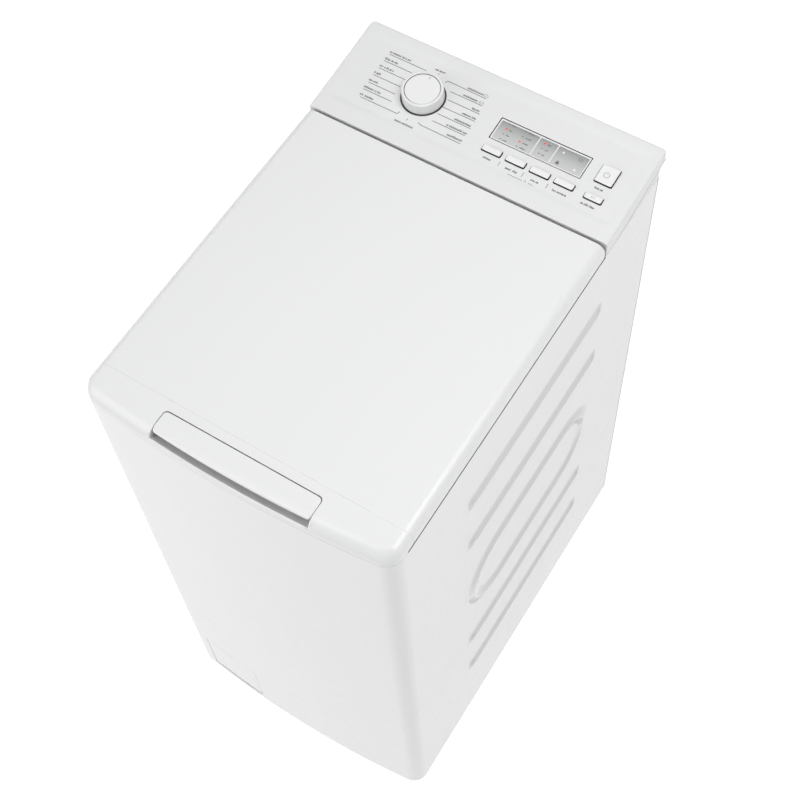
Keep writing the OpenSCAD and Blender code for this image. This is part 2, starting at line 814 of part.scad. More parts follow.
module tub_half() {
    outer = tub_r + tub_wall;
    half = tub_w / 2;
    lug = 20;
    difference() {
        union() {
            bar_x(0, half, outer);
            bar_x(0, 5, outer + 7);
            box([0, axle_y - chimney - 4, axle_z], [chimney + 4, axle_y + chimney + 4, chimney_top]);
            bar_x(148, 173, 34);
            for (a = [0:45:315]) translate([half - e, axle_y, axle_z]) rotate([a, 0, 0])
                translate([0, -2, 30]) cube([6, 4, outer - 34]);
            for (y = [-1, 1]) translate([half - 1, axle_y + y * spring_at.y, 0])
                box([0, -8, 600], [26, 8, 610]);
            for (y = [-1, 1]) translate([half - 30, axle_y + y * spring_at.y, 0])
                box([0, -8, 590], [31, 8, 610]);
            for (y = [-1, 1]) bar_z(609, spring_z[0], 2.5, spring_at.x, axle_y + y * spring_at.y);
            box([damper_at.x - lug / 2, axle_y + damper_at.y - lug / 2, 206],
                [damper_at.x + lug / 2, axle_y + damper_at.y + lug / 2, 240]);
        }
        bar_x(-1, half - tub_wall, tub_r);
        box([-1, axle_y - chimney, axle_z], [chimney, axle_y + chimney, chimney_top + 1]);
        bar_x(147, 156, 22);
        bar_x(155, 158, 17);
        bar_x(157, 175, 26);
    }
}

module tub_right() color("#c9ccce") {
    difference() {
        tub_half();
        heater_rods(3.6);
        // the end wall's lowest rib stops short of the heater flange
        box([tub_w / 2, axle_y - 27, axle_z - 249], [tub_w / 2 + 7, axle_y + 27, axle_z - 229]);
    }
}

module tub_left() color("#c9ccce") {
    difference() {
        union() {
            rotate([0, 0, 180]) translate([0, -2 * axle_y, 0]) tub_half();
            bar_z(188, 215, 18, pump_x, -70);
        }
        bar_x(-156, 1, tub_r);
        bar_z(180, 260, 13, pump_x, -70);
    }
}

module ball_groove(mid, r) {
    translate([164.5, axle_y, axle_z]) rotate([0, 90, 0]) rotate_extrude()
        translate([mid, 0]) circle(r);
}

module tub_bearings() color("silver")
    for (m = [0, 1]) mirror([m, 0, 0]) {
        mid = 19.2;
        ball = 3.9;
        difference() {
            bar_x(157, 172, 25.97);
            bar_x(156, 173, 21);
            ball_groove(mid, ball + 0.05);
        }
        difference() {
            bar_x(157, 172, 17.4);
            bar_x(156, 173, axle_r + 0.05);
            ball_groove(mid, ball + 0.05);
        }
        for (i = [0:8]) translate([164.5, axle_y, axle_z]) rotate([40 * i, 0, 0])
            translate([0, 0, mid]) sphere(ball);
    }

module shaft_seals() color("#232425")
    for (m = [0, 1]) mirror([m, 0, 0]) difference() {
        bar_x(148.5, 155.8, 21.95);
        bar_x(148, 157, axle_r + 0.05);
    }

module heater_rods(r) {
    for (y = [-14, 14]) bar_x(-90, 176, r, axle_y + y, axle_z - 238.5);
}

module heater() color("#b08d57") {
    heater_rods(3.5);
    translate([-90, axle_y, axle_z - 238.5]) rotate([0, 0, 90])
        rotate_extrude(angle = 180) translate([14, 0]) circle(3.5);
    difference() {
        box([160.2, axle_y - 26, axle_z - 246], [163, axle_y + 26, axle_z - 231]);
        heater_rods(3.6);
    }
}

module counterweight(s) {
    difference() {
        box([-118, axle_y + (s < 0 ? -258 : 143), 590], [118, axle_y + (s < 0 ? -143 : 258), 735]);
        bar_x(-200, 200, tub_r + tub_wall + 0.3);
        bar_x(-6, 6, tub_r + tub_wall + 7.4);
        for (x = [-80, 80]) bar_z(580, 740, 6, x, axle_y + s * 215);
    }
}

module counterweight_front() color("#8f8d88") counterweight(-1);
module counterweight_rear() color("#8f8d88") counterweight(1);

module motor_housing() color("#6d7276") {
    y = motor_at[0];
    z = motor_at[1];
    difference() {
        bar_x(-70, 110, motor_r, y, z);
        bar_x(-64, 104, 58, y, z);
        bar_x(-80, 120, 7.05, y, z);
    }
    difference() {
        bar_x(-45, 85, 57.9, y, z);
        bar_x(-46, 86, 38, y, z);
    }
    for (x = [-66, 96]) difference() {
        section_yz(x, x + 10)
            polygon([[20, 190], [130, 110], [200, 100], [245, 300], [215, 330], [60, 215]]);
        bar_x(x - 1, x + 11, tub_r + tub_wall + 0.3);
        bar_x(x - 1, x + 11, motor_r, y, z);
    }
}

module motor_rotor() color("#a7abae") {
    y = motor_at[0];
    z = motor_at[1];
    bar_x(-76, 190, 7, y, z);
    bar_x(-42, 82, 36, y, z);
    difference() {
        bar_x(pulley_x, pulley_x + pulley_w, motor_pulley_r, y, z);
        bar_x(pulley_x - 1, pulley_x + pulley_w + 1, 6.9, y, z);
    }
}

// The belt's outline: two circles joined by their outer tangents
module belt_shape(grow) {
    d = motor_at - [axle_y, axle_z];
    r1 = pulley_r + grow;
    r2 = motor_pulley_r + grow;
    turn = atan2(d.y, d.x);
    spread = acos((r1 - r2) / norm(d));
    function rim(c, r, a) = c + r * [cos(a), sin(a)];
    c1 = [axle_y, axle_z];
    translate(c1) circle(r1, $fn = 96);
    translate(motor_at) circle(r2, $fn = 96);
    polygon([
        rim(c1, r1, turn + spread), rim(motor_at, r2, turn + spread), motor_at,
        rim(motor_at, r2, turn - spread), rim(c1, r1, turn - spread), c1,
    ]);
}

module drive_belt() color("#1d1d1e")
    section_yz(pulley_x + 1.5, pulley_x + pulley_w - 1.5) difference() {
        belt_shape(belt_t);
        belt_shape(gap);
    }

module damper_places() {
    for (s = [-1, 1]) translate([s * damper_at.x, axle_y + s * damper_at.y, 0]) children();
}

module damper_tubes() color("#3c3f42") damper_places() difference() {
    translate([0, 0, 32]) cylinder(h = 128, r = damper_r);
    translate([0, 0, 36]) cylinder(h = 120, r = damper_r - 2);
    translate([0, 0, 150]) cylinder(h = 20, r = rod_r + 0.05);
}

module damper_rods() color("silver") damper_places() {
    translate([0, 0, 78]) cylinder(h = 128, r = rod_r);
    translate([0, 0, 78]) cylinder(h = 12, r = damper_r - 2.05);
}

// ---------------------------------------------------------------- drum

module drum_tube() difference() {
    bar_x(-drum_w / 2, drum_w / 2, drum_r);
    bar_x(-drum_w, drum_w, drum_r - 1.2);
}

module door_hinge_at(s, x0, x1, r) {
    bar_x(x0, x1, r, axle_y + s * door_hinge_r * sin(door_angle),
          axle_z + door_hinge_r * cos(door_angle));
}

module drum_shell() color("#c4c8ca") {
    edge = drum_r * sin(door_angle);
    difference() {
        union() {
            drum_tube();
            for (s = [-1, 1], m = [-1, 1]) door_hinge_at(s, m * 75 - 20, m * 75 + 20, 2.4);
        }
        box([-102, axle_y - edge + 0.8, axle_z + 150], [102, axle_y + edge - 0.8, axle_z + 240]);
        box([-54, axle_y - 112, axle_z + 150], [54, axle_y + 112, axle_z + 240]);
        bar_x(-drum_w, drum_w, drum_r - 3.5);
        for (s = [-1, 1]) door_hinge_at(s, -110, 110, 1.22);
    }
}

module drum_door(s) {
    edge = drum_r * sin(door_angle);
    y0 = s > 0 ? axle_y + 0.4 : axle_y - edge + 1.6;
    y1 = s > 0 ? axle_y + edge - 1.6 : axle_y - 0.4;
    difference() {
        union() {
            intersection() {
                drum_tube();
                box([-door_half_x, y0, axle_z + 150], [door_half_x, y1, axle_z + 240]);
            }
            intersection() {
                drum_tube();
                box([-52, axle_y + (s > 0 ? 90 : -edge - 0.6), axle_z + 150],
                    [52, axle_y + (s > 0 ? edge + 0.6 : -90), axle_z + 240]);
            }
            door_hinge_at(s, -52, 52, 2.4);
        }
        door_hinge_at(s, -60, 60, 1.25);
    }
}

module drum_door_front() color("#cfd3d5") drum_door(-1);
module drum_door_rear() color("#cfd3d5") drum_door(1);

module drum_door_pins() color("silver") for (s = [-1, 1]) door_hinge_at(s, -98, 98, 1.2);

module drum_ends() color("#c4c8ca")
    for (m = [0, 1]) mirror([m, 0, 0]) difference() {
        bar_x(drum_w / 2 - 3, drum_w / 2 - 0.5, drum_r - 1.3);
        bar_x(drum_w / 2 - 5, drum_w / 2 + 1, axle_r + 0.02);
    }

module drum_lifters() color("#e2e4e4")
    for (a = [90, 180, 270]) translate([0, axle_y, axle_z]) rotate([a, 0, 0])
        difference() {
            section_yz(-112, 112) polygon([[-28, 224], [-9, 168], [9, 168], [28, 224]]);
            section_yz(-109, 109) polygon([[-23.5, 225], [-6.5, 171], [6.5, 171], [23.5, 225]]);
        }

module drum_shafts() color("#9fa4a8") {
    bar_x(121, 192, axle_r);
    bar_x(-176, -121, axle_r);
    for (m = [0, 1]) mirror([m, 0, 0]) {
        bar_x(drum_w / 2, drum_w / 2 + 12, 32);
        for (i = [0:2]) translate([0, axle_y, axle_z]) rotate([120 * i + 60, 0, 0])
            box([drum_w / 2, -14, 0], [drum_w / 2 + 7, 14, 200]);
    }
}

module drum_pulley() color("#b3b6b8") {
    difference() {
        bar_x(pulley_x, pulley_x + pulley_w, pulley_r);
        bar_x(pulley_x - 1, pulley_x + 4, pulley_r - 8);
        bar_x(pulley_x + pulley_w - 4, pulley_x + pulley_w + 1, pulley_r - 8);
        for (i = [0:5]) translate([0, axle_y, axle_z]) rotate([60 * i, 0, 0])
            translate([0, 0, 78]) bar_x(pulley_x - 1, pulley_x + pulley_w + 1, 34, 0, 0);
        bar_x(pulley_x - 1, pulley_x + pulley_w + 1, axle_r + 0.02);
    }
    difference() {
        bar_x(pulley_x, pulley_x + pulley_w, 22);
        bar_x(pulley_x - 1, pulley_x + pulley_w + 1, axle_r + 0.02);
    }
}

cabinet_wrap();
rear_panel();
base_tray();
top_frame();
console_base();
console_fascia();
display_window();
control_board();
program_switch();
door_lock();
lid_hinge_pins();
detergent_tray();
inlet_valve();
pressure_switch();
pump_housing();
pump_motor();
sump_hose();
drain_pipe();
mains_gland();
damper_tubes();
spring_hangers();
suspension_springs();
bellows();
panel_screws();
rear_feet();
foot_front_left();
foot_front_right();
tub_left();
tub_right();
tub_bearings();
shaft_seals();
heater();
counterweight_front();
counterweight_rear();
motor_housing();
drive_belt();
damper_rods();
drum_shell();
drum_ends();
drum_lifters();
drum_shafts();
drum_pulley();
drum_door_pins();
drum_door_front();
drum_door_rear();
motor_rotor();
pump_impeller();
lid_panel();
lid_front_strip();
lid_inner();
lid_handle();
program_knob();
temperature_button();
spin_button();
rinse_button();
delay_button();
power_button();
start_button();
filter_flap();
drain_filter();
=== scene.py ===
import math
import random
import bpy
import bmesh
import numpy as np
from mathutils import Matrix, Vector
from mathutils.geometry import tessellate_polygon


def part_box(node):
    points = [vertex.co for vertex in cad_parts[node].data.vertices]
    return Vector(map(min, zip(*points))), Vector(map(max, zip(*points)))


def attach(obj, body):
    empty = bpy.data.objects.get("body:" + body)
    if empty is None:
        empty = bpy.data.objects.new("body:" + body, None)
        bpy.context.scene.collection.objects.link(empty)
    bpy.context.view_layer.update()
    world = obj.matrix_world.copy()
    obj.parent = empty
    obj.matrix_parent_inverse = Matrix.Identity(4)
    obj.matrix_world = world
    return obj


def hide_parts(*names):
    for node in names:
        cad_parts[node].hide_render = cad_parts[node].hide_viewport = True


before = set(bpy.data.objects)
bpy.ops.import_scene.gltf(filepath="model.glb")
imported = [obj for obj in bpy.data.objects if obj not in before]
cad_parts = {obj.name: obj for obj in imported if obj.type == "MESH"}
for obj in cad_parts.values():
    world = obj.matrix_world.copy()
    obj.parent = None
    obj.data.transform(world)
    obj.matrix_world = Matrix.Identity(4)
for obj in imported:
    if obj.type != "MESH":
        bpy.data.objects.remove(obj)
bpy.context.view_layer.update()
scene = bpy.context.scene
MM = 0.001

# ------------------------------------------------------------------ sizes, in mm, partly read from the frame


def cad_box(node):
    low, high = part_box(node)
    return [1000 * v for v in low], [1000 * v for v in high]


wrap_low, wrap_high = cad_box("cabinet_wrap")
_, panel_high = cad_box("lid_panel")
_, strip_high = cad_box("lid_front_strip")
_, handle_high = cad_box("lid_handle")
fascia_low, fascia_high = cad_box("console_fascia")
rear_low, rear_high = cad_box("rear_panel")

HALF = strip_high[0]
BEAD_H = wrap_high[0] - HALF
TOP = wrap_high[2]
SKIRT = wrap_low[2]
LID_TOP = panel_high[2]
LID_LOW = TOP + 1.0
LID_REAR = panel_high[1]
STRIP_Y = strip_high[1] + 0.2
BOW = 10.0
FILLET_R = 22.0
FILLET_X = HALF - FILLET_R
BOW_R = (FILLET_X ** 2 + BOW ** 2) / (2 * BOW)
BOW_Y = wrap_low[1] + BOW_R
FILLET_Y = BOW_Y - math.sqrt((BOW_R - FILLET_R) ** 2 - FILLET_X ** 2)
FILLET_A = math.asin(FILLET_X / (BOW_R - FILLET_R))
BACK = wrap_high[1]
SHEET = 1.2
ROLL = 18.0
EDGE_R = 12.0
SKIN = 2.2

FAS_Y, FAS_Z = fascia_low[1], LID_TOP
TILT = math.atan((875.0 - FAS_Z) / (297.5 - FAS_Y))
ST, CT = math.sin(TILT), math.cos(TILT)


def bow_at(x):
    return BOW_Y - math.sqrt(BOW_R * BOW_R - x * x)


def on_fascia(x, v, h=0.0):
    return (x, FAS_Y + v * CT - h * ST, FAS_Z + v * ST + h * CT)


# ------------------------------------------------------------------ camera

cam_data = bpy.data.cameras.new("Camera")
cam = bpy.data.objects.new("Camera", cam_data)
scene.collection.objects.link(cam)
cam_data.sensor_width = 36.0
cam_data.lens = 66.65
cam_data.clip_start, cam_data.clip_end = 0.05, 60.0
cam.location = (0.5587, -0.7377, 2.2231)
cam.rotation_euler = [math.radians(a) for a in (29.099, 2.450, 32.118)]
scene.camera = cam

# ------------------------------------------------------------------ materials


class Shade:
    """A small helper around one material's node tree."""

    def __init__(self, name):
        self.mat = bpy.data.materials.new(name)
        self.mat.use_nodes = True
        self.tree = self.mat.node_tree
        self.tree.nodes.clear()
        self.out = self.node("ShaderNodeOutputMaterial")
        self.bsdf = self.node("ShaderNodeBsdfPrincipled")
        self.link(self.bsdf, "BSDF", self.out, "Surface")
        self.coord = self.node("ShaderNodeTexCoord")

    def node(self, kind, **props):
        n = self.tree.nodes.new(kind)
        for k, v in props.items():
            setattr(n, k, v)
        return n

    def link(self, a, out, b, into):
        self.tree.links.new(a.outputs[out], b.inputs[into])

    def set(self, **values):
        for k, v in values.items():
            self.bsdf.inputs[k.replace("_", " ")].default_value = v

    def place(self, stretch=(1, 1, 1)):
        m = self.node("ShaderNodeMapping")
        m.inputs["Scale"].default_value = stretch
        self.link(self.coord, "Object", m, "Vector")
        return m

    def noise(self, scale, detail=3.0, stretch=(1, 1, 1), rough=0.55):
        n = self.node("ShaderNodeTexNoise")
        n.inputs["Scale"].default_value = scale
        n.inputs["Detail"].default_value = detail
        n.inputs["Roughness"].default_value = rough
        self.link(self.place(stretch), "Vector", n, "Vector")
        return n

    def ramp(self, source, out, stops):
        r = self.node("ShaderNodeValToRGB")
        while len(r.color_ramp.elements) < len(stops):
            r.color_ramp.elements.new(0.5)
        for e, (at, c) in zip(r.color_ramp.elements, stops):
            e.position = at
            e.color = (c[0], c[1], c[2], 1)
        self.link(source, out, r, "Fac")
        return r

    def span(self, source, out, low, high, lo_in=0.3, hi_in=0.7):
        m = self.node("ShaderNodeMapRange")
        m.inputs["From Min"].default_value = lo_in
        m.inputs["From Max"].default_value = hi_in
        m.inputs["To Min"].default_value = low
        m.inputs["To Max"].default_value = high
        self.link(source, out, m, "Value")
        return m

    def bump(self, source, out, strength, distance, under=None):
        b = self.node("ShaderNodeBump")
        b.inputs["Strength"].default_value = strength
        b.inputs["Distance"].default_value = distance
        self.link(source, out, b, "Height")
        if under is not None:
            self.link(under, "Normal", b, "Normal")
        return b


def tone(c, k):
    return tuple(min(1.0, v * k) for v in c)


def moulded(name, colour, rough, spread=0.03, vary=0.03, scale=9.0, grain=1500.0, depth=0.00003,
            strength=0.25, coat=0.0, specular=0.5, wave=True):
    """Moulded plastic or enamel: faint mottling, uneven gloss, and a fine surface over a long soft wave."""
    s = Shade(name)
    mottle = s.noise(scale, 4.0)
    fine = s.noise(scale * 14, 3.0)
    colours = s.ramp(mottle, "Fac", [(0.30, tone(colour, 1 - vary)), (0.52, colour), (0.75, tone(colour, 1
            + vary * 0.6))])
    s.link(colours, "Color", s.bsdf, "Base Color")
    s.link(s.span(fine, "Fac", rough - spread, rough + spread), "Result", s.bsdf, "Roughness")
    under = None
    if wave:
        under = s.bump(s.noise(5.0, 1.0), "Fac", 0.08, 0.0005)
    texture = s.bump(s.noise(grain, 2.0), "Fac", strength, depth, under)
    s.link(texture, "Normal", s.bsdf, "Normal")
    s.set(Coat_Weight=coat, Coat_Roughness=0.08, Specular_IOR_Level=specular)
    return s.mat


def brushed(name, colour, rough, stretch=(1, 60, 60), scale=30.0, vary=0.10, strength=0.25):
    """Drawn or rolled metal: fine parallel lines and cloudy patches."""
    s = Shade(name)
    lines = s.noise(scale, 5.0, stretch)
    clouds = s.noise(7.0, 3.0)
    colours = s.ramp(lines, "Fac", [(0.30, tone(colour, 1 - vary)), (0.50, colour), (0.72, tone(colour, 1
            + vary))])
    s.link(colours, "Color", s.bsdf, "Base Color")
    s.link(s.span(clouds, "Fac", rough - 0.05, rough + 0.08), "Result", s.bsdf, "Roughness")
    s.link(s.bump(lines, "Fac", strength, 0.00004), "Normal", s.bsdf, "Normal")
    s.set(Metallic=1.0)
    return s.mat


def speckled(name, dark, light, rough, scale=160.0, depth=0.0004, strength=0.6, metallic=0.0):
    """Cast or pressed stock: grains of two tones, pits and cloudy patches."""
    s = Shade(name)
    cells = s.node("ShaderNodeTexVoronoi")
    cells.inputs["Scale"].default_value = scale
    s.link(s.place(), "Vector", cells, "Vector")
    clouds = s.noise(12.0, 5.0)
    mix = s.node("ShaderNodeMath", operation="MULTIPLY")
    s.link(cells, "Distance", mix, 0)
    s.link(clouds, "Fac", mix, 1)
    colours = s.ramp(mix, "Value", [(0.05, dark), (0.22, tone(light, 0.88)), (0.45, light)])
    s.link(colours, "Color", s.bsdf, "Base Color")
    s.link(s.span(clouds, "Fac", rough - 0.08, min(1.0, rough + 0.08)), "Result", s.bsdf, "Roughness")
    pits = s.bump(cells, "Distance", strength, depth)
    s.link(s.bump(s.noise(420.0, 4.0), "Fac", strength * 0.6, depth * 0.4, pits), "Normal", s.bsdf,
           "Normal")
    s.set(Metallic=metallic)
    return s.mat


AXLE_Y, AXLE_Z = -0.002, 0.445
SHEET_R = 0.228
HOLE_PITCH, ROW_PITCH = 0.012, 0.0104


def perforated(name):
    """Stainless sheet with rows of pressed drain holes, laid out round the drum's axle."""
    s = Shade(name)
    split = s.node("ShaderNodeSeparateXYZ")
    s.link(s.coord, "Object", split, "Vector")

    def maths(op, a, b=None, value=None):
        n = s.node("ShaderNodeMath", operation=op)
        s.tree.links.new(a, n.inputs[0])
        if b is not None:
            s.tree.links.new(b, n.inputs[1])
        elif value is not None:
            n.inputs[1].default_value = value
        return n.outputs["Value"]

    y = maths("SUBTRACT", split.outputs["Y"], value=AXLE_Y)
    z = maths("SUBTRACT", split.outputs["Z"], value=AXLE_Z)
    round_it = maths("ARCTAN2", y, z)
    across = maths("MULTIPLY", split.outputs["X"], value=1 / HOLE_PITCH)
    around = maths("MULTIPLY", round_it, value=SHEET_R / ROW_PITCH)
    row = maths("FLOOR", around)
    odd = maths("MULTIPLY", maths("MODULO", maths("ABSOLUTE", row), value=2.0), value=0.5)
    u = maths("SUBTRACT", maths("FRACT", maths("ADD", across, odd)), value=0.5)
    v = maths("SUBTRACT", maths("FRACT", around), value=0.5)
    d = maths("SQRT", maths("ADD", maths("MULTIPLY", u, u), maths("MULTIPLY", v, v)))
    hole = s.node("ShaderNodeMapRange")
    hole.inputs["From Min"].default_value = 0.12
    hole.inputs["From Max"].default_value = 0.22
    s.tree.links.new(d, hole.inputs["Value"])
    lines = s.noise(30.0, 5.0, (1, 50, 50))
    steel = s.ramp(lines, "Fac", [(0.3, (0.52, 0.53, 0.54)), (0.5, (0.62, 0.63, 0.64)), (0.7, (0.70, 0.71,
            0.72))])
    mix = s.node("ShaderNodeMix", data_type="RGBA")
    s.tree.links.new(hole.outputs["Result"], mix.inputs[0])
    mix.inputs[6].default_value = (0.015, 0.015, 0.016, 1)
    s.tree.links.new(steel.outputs["Color"], mix.inputs[7])
    s.tree.links.new(mix.outputs[2], s.bsdf.inputs["Base Color"])
    dimple = s.node("ShaderNodeMapRange")
    dimple.inputs["From Min"].default_value = 0.1
    dimple.inputs["From Max"].default_value = 0.34
    s.tree.links.new(d, dimple.inputs["Value"])
    press = s.bump(dimple, "Result", 0.7, 0.0012)
    s.link(s.bump(lines, "Fac", 0.15, 0.00004, press), "Normal", s.bsdf, "Normal")
    s.link(s.span(lines, "Fac", 0.28, 0.38), "Result", s.bsdf, "Roughness")
    s.set(Metallic=1.0)
    return s.mat


WHITE = (0.800, 0.803, 0.805)
white_paint = moulded("white_enamel", (0.795, 0.797, 0.799), 0.24, vary=0.006, scale=3.0, grain=520.0,
                      depth=0.00003, strength=0.10)
white_plastic = moulded("white_moulding", WHITE, 0.25, spread=0.02, vary=0.004, scale=4.0, grain=900.0,
                        depth=0.00002, strength=0.05)
# painted shade: a darker copy of the white moulding for the finger recess under the handle, where shade falls
recess_shaded_plastic = moulded("recess_moulding_painted_shade", (0.70, 0.702, 0.704), 0.36, vary=0.01, scale=6.0)
console_plastic = moulded("console_moulding", (0.762, 0.765, 0.767), 0.33, vary=0.008, scale=5.0,
                          grain=1700.0,
                          depth=0.00003, strength=0.12)


def pressed_painted_shade():
    """Enamel of the pressed side panels, darkened by slope to stand in for the soft shade along the beads."""
    s = Shade("pressed_enamel_painted_shade")
    split = s.node("ShaderNodeSeparateXYZ")
    s.link(s.coord, "Normal", split, "Vector")
    slope = s.node("ShaderNodeMapRange")
    slope.inputs["From Min"].default_value = -0.5
    slope.inputs["From Max"].default_value = 0.5
    s.link(split, "Z", slope, "Value")
    full = (0.795, 0.797, 0.799)
    # painted shade: the enamel is darker on the beads' slopes, most of all on their undersides
    colours = s.ramp(slope, "Result", [(0.15, tone(full, 0.50)), (0.44, tone(full, 0.64)), (0.49, full),
                                       (0.515, full), (0.60, tone(full, 0.83)), (0.90, tone(full, 0.76))])
    s.link(colours, "Color", s.bsdf, "Base Color")
    s.link(s.span(s.noise(42.0, 3.0), "Fac", 0.21, 0.27), "Result", s.bsdf, "Roughness")
    under = s.bump(s.noise(5.0, 1.0), "Fac", 0.08, 0.0005)
    s.link(s.bump(s.noise(520.0, 2.0), "Fac", 0.10, 0.00003, under), "Normal", s.bsdf, "Normal")
    return s.mat


pressed_white_shaded = pressed_painted_shade()
knob_top = moulded("knob_satin", (0.815, 0.817, 0.819), 0.40, vary=0.010, scale=12.0, grain=2400.0,
                   depth=0.00003, strength=0.30, wave=False)
button_plastic = moulded("button_moulding", (0.825, 0.827, 0.829), 0.24, vary=0.010, scale=14.0,
                         grain=2400.0,
                         depth=0.00002, strength=0.22, wave=False)
inner_white = moulded("inner_moulding", (0.72, 0.722, 0.715), 0.45, vary=0.025, scale=8.0, grain=1100.0,
                      depth=0.00006, strength=0.35)
rear_paint = moulded("rear_coating", (0.60, 0.605, 0.61), 0.42, vary=0.03, scale=6.0, grain=480.0,
                     depth=0.00008, strength=0.35)
dark_plastic = moulded("dark_moulding", (0.030, 0.031, 0.033), 0.46, vary=0.18, scale=14.0, grain=900.0,
                       depth=0.00010, strength=0.45)
foot_plastic = moulded("foot_moulding", (0.018, 0.018, 0.019), 0.60, vary=0.22, scale=40.0, grain=700.0,
                       depth=0.00020, strength=0.5)
grey_plastic = moulded("filled_moulding", (0.36, 0.375, 0.385), 0.52, vary=0.06, scale=16.0, grain=620.0,
                       depth=0.00012, strength=0.45)
tray_plastic = moulded("tray_moulding", (0.62, 0.70, 0.76), 0.24, vary=0.03, scale=10.0, coat=0.15)
lifter_plastic = moulded("lifter_moulding", (0.66, 0.675, 0.69), 0.32, vary=0.03, scale=10.0)
filter_plastic = moulded("filter_moulding", (0.035, 0.13, 0.33), 0.40, vary=0.10, scale=18.0, grain=900.0,
                         depth=0.00008, strength=0.4)
black_rubber = moulded("black_rubber", (0.016, 0.016, 0.017), 0.62, vary=0.20, scale=30.0, grain=800.0,
                       depth=0.00016, strength=0.55, specular=0.35)
grey_rubber = moulded("grey_rubber", (0.20, 0.205, 0.21), 0.58, vary=0.10, scale=26.0, grain=800.0,
                      depth=0.00014, strength=0.5, specular=0.35)
zinc = brushed("zinc_plate", (0.56, 0.575, 0.60), 0.34, stretch=(20, 20, 2), vary=0.14)
ground_steel = brushed("ground_steel", (0.50, 0.505, 0.515), 0.24, stretch=(70, 2, 2), vary=0.10)
steel_sheet = brushed("rolled_steel", (0.60, 0.61, 0.62), 0.26, stretch=(2, 40, 40), vary=0.08)
heater_metal = brushed("heat_tinted_steel", (0.42, 0.34, 0.24), 0.38, stretch=(3, 30, 30), vary=0.22)
cast_metal = speckled("cast_aluminium", (0.30, 0.30, 0.31), (0.50, 0.505, 0.51), 0.45, scale=420.0,
                      depth=0.00012, strength=0.45, metallic=1.0)
concrete = speckled("cast_concrete", (0.14, 0.135, 0.13), (0.36, 0.35, 0.33), 0.88)
board_green = moulded("board_lacquer", (0.012, 0.085, 0.035), 0.32, vary=0.25, scale=90.0, grain=300.0,
                      depth=0.00010, strength=0.5, coat=0.4)
drum_steel = perforated("perforated_steel")
ink = moulded("printed_ink", (0.155, 0.158, 0.162), 0.50, vary=0.10, scale=60.0, wave=False)
label_ink = moulded("label_ink", (0.050, 0.051, 0.054), 0.50, vary=0.12, scale=60.0, wave=False)
pale_ink = moulded("pale_ink", (0.42, 0.425, 0.43), 0.50, vary=0.06, scale=60.0, wave=False)
light_mark = moulded("light_mark", (0.78, 0.79, 0.79), 0.40, vary=0.04, scale=60.0, wave=False)
gap_dark = moulded("gap_shadow_plastic", (0.045, 0.045, 0.047), 0.7, vary=0.15, scale=30.0, wave=False)


def window_material():
    """The printed window, with painted shade: darker towards its rear edge, where the frame's rear edge
    shades it, under a clear gloss.
    """
    s = Shade("display_print_and_shade")
    split = s.node("ShaderNodeSeparateXYZ")
    s.link(s.coord, "Object", split, "Vector")
    low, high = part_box("display_window")
    rise = s.node("ShaderNodeMapRange")
    rise.inputs["From Min"].default_value = low.y
    rise.inputs["From Max"].default_value = high.y
    s.link(split, "Y", rise, "Value")
    # painted shade: the print darkens towards the window's rear edge
    shades = s.ramp(rise, "Result", [(0.0, (0.60, 0.605, 0.605)), (0.45, (0.50, 0.505, 0.505)), (0.80,
            (0.36, 0.365, 0.365)), (0.97, (0.24, 0.242, 0.245))])
    grain = s.noise(700.0, 2.0)
    s.link(shades, "Color", s.bsdf, "Base Color")
    s.link(s.span(grain, "Fac", 0.21, 0.27), "Result", s.bsdf, "Roughness")
    s.link(s.bump(grain, "Fac", 0.15, 0.00003), "Normal", s.bsdf, "Normal")
    s.set(Coat_Weight=0.2, Coat_Roughness=0.1)
    return s.mat


display_print_and_shade = window_material()


def lamp_material():
    s = Shade("red_lamp")
    glow = s.noise(900.0, 2.0)
    colours = s.ramp(glow, "Fac", [(0.3, (0.62, 0.045, 0.05)), (0.7, (0.80, 0.10, 0.11))])
    s.link(colours, "Color", s.bsdf, "Base Color")
    s.link(colours, "Color", s.bsdf, "Emission Color")
    s.set(Emission_Strength=0.35, Roughness=0.3)
    return s.mat


red_lamp = lamp_material()

# ------------------------------------------------------------------ mesh helpers


def make(name, verts, faces, mat, body, slot=None, stands_for=(), smooth=True, sharp=None, fix=True,
         mats=None, pick=None):
    """A piece from points in mm. It rides on a CAD body and may stand for CAD nodes."""
    me = bpy.data.meshes.new(name)
    me.from_pydata([(x * MM, y * MM, z * MM) for x, y, z in verts], [], faces)
    me.update()
    if fix:
        bm = bmesh.new()
        bm.from_mesh(me)
        bmesh.ops.recalc_face_normals(bm, faces=bm.faces)
        bm.to_mesh(me)
        bm.free()
    for m in mats or [mat]:
        me.materials.append(m)
    if pick:
        for p in me.polygons:
            p.material_index = pick(p)
    if smooth:
        me.shade_smooth()
        if sharp:
            me.set_sharp_from_angle(angle=math.radians(sharp))
    o = bpy.data.objects.new(name, me)
    scene.collection.objects.link(o)
    if body:
        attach(o, body)
        if stands_for:
            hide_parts(*stands_for)
    return o


def soften(o, width, angle):
    b = o.modifiers.new("edges", "BEVEL")
    b.width = width * MM
    b.segments = 2
    b.limit_method = "ANGLE"
    b.angle_limit = math.radians(angle)
    b.use_clamp_overlap = True
    b.miter_outer = "MITER_ARC"
    w = o.modifiers.new("normals", "WEIGHTED_NORMAL")
    w.keep_sharp = True
    w.weight = 80
    return o


def even(o):
    w = o.modifiers.new("normals", "WEIGHTED_NORMAL")
    w.keep_sharp = True
    w.weight = 90
    return o


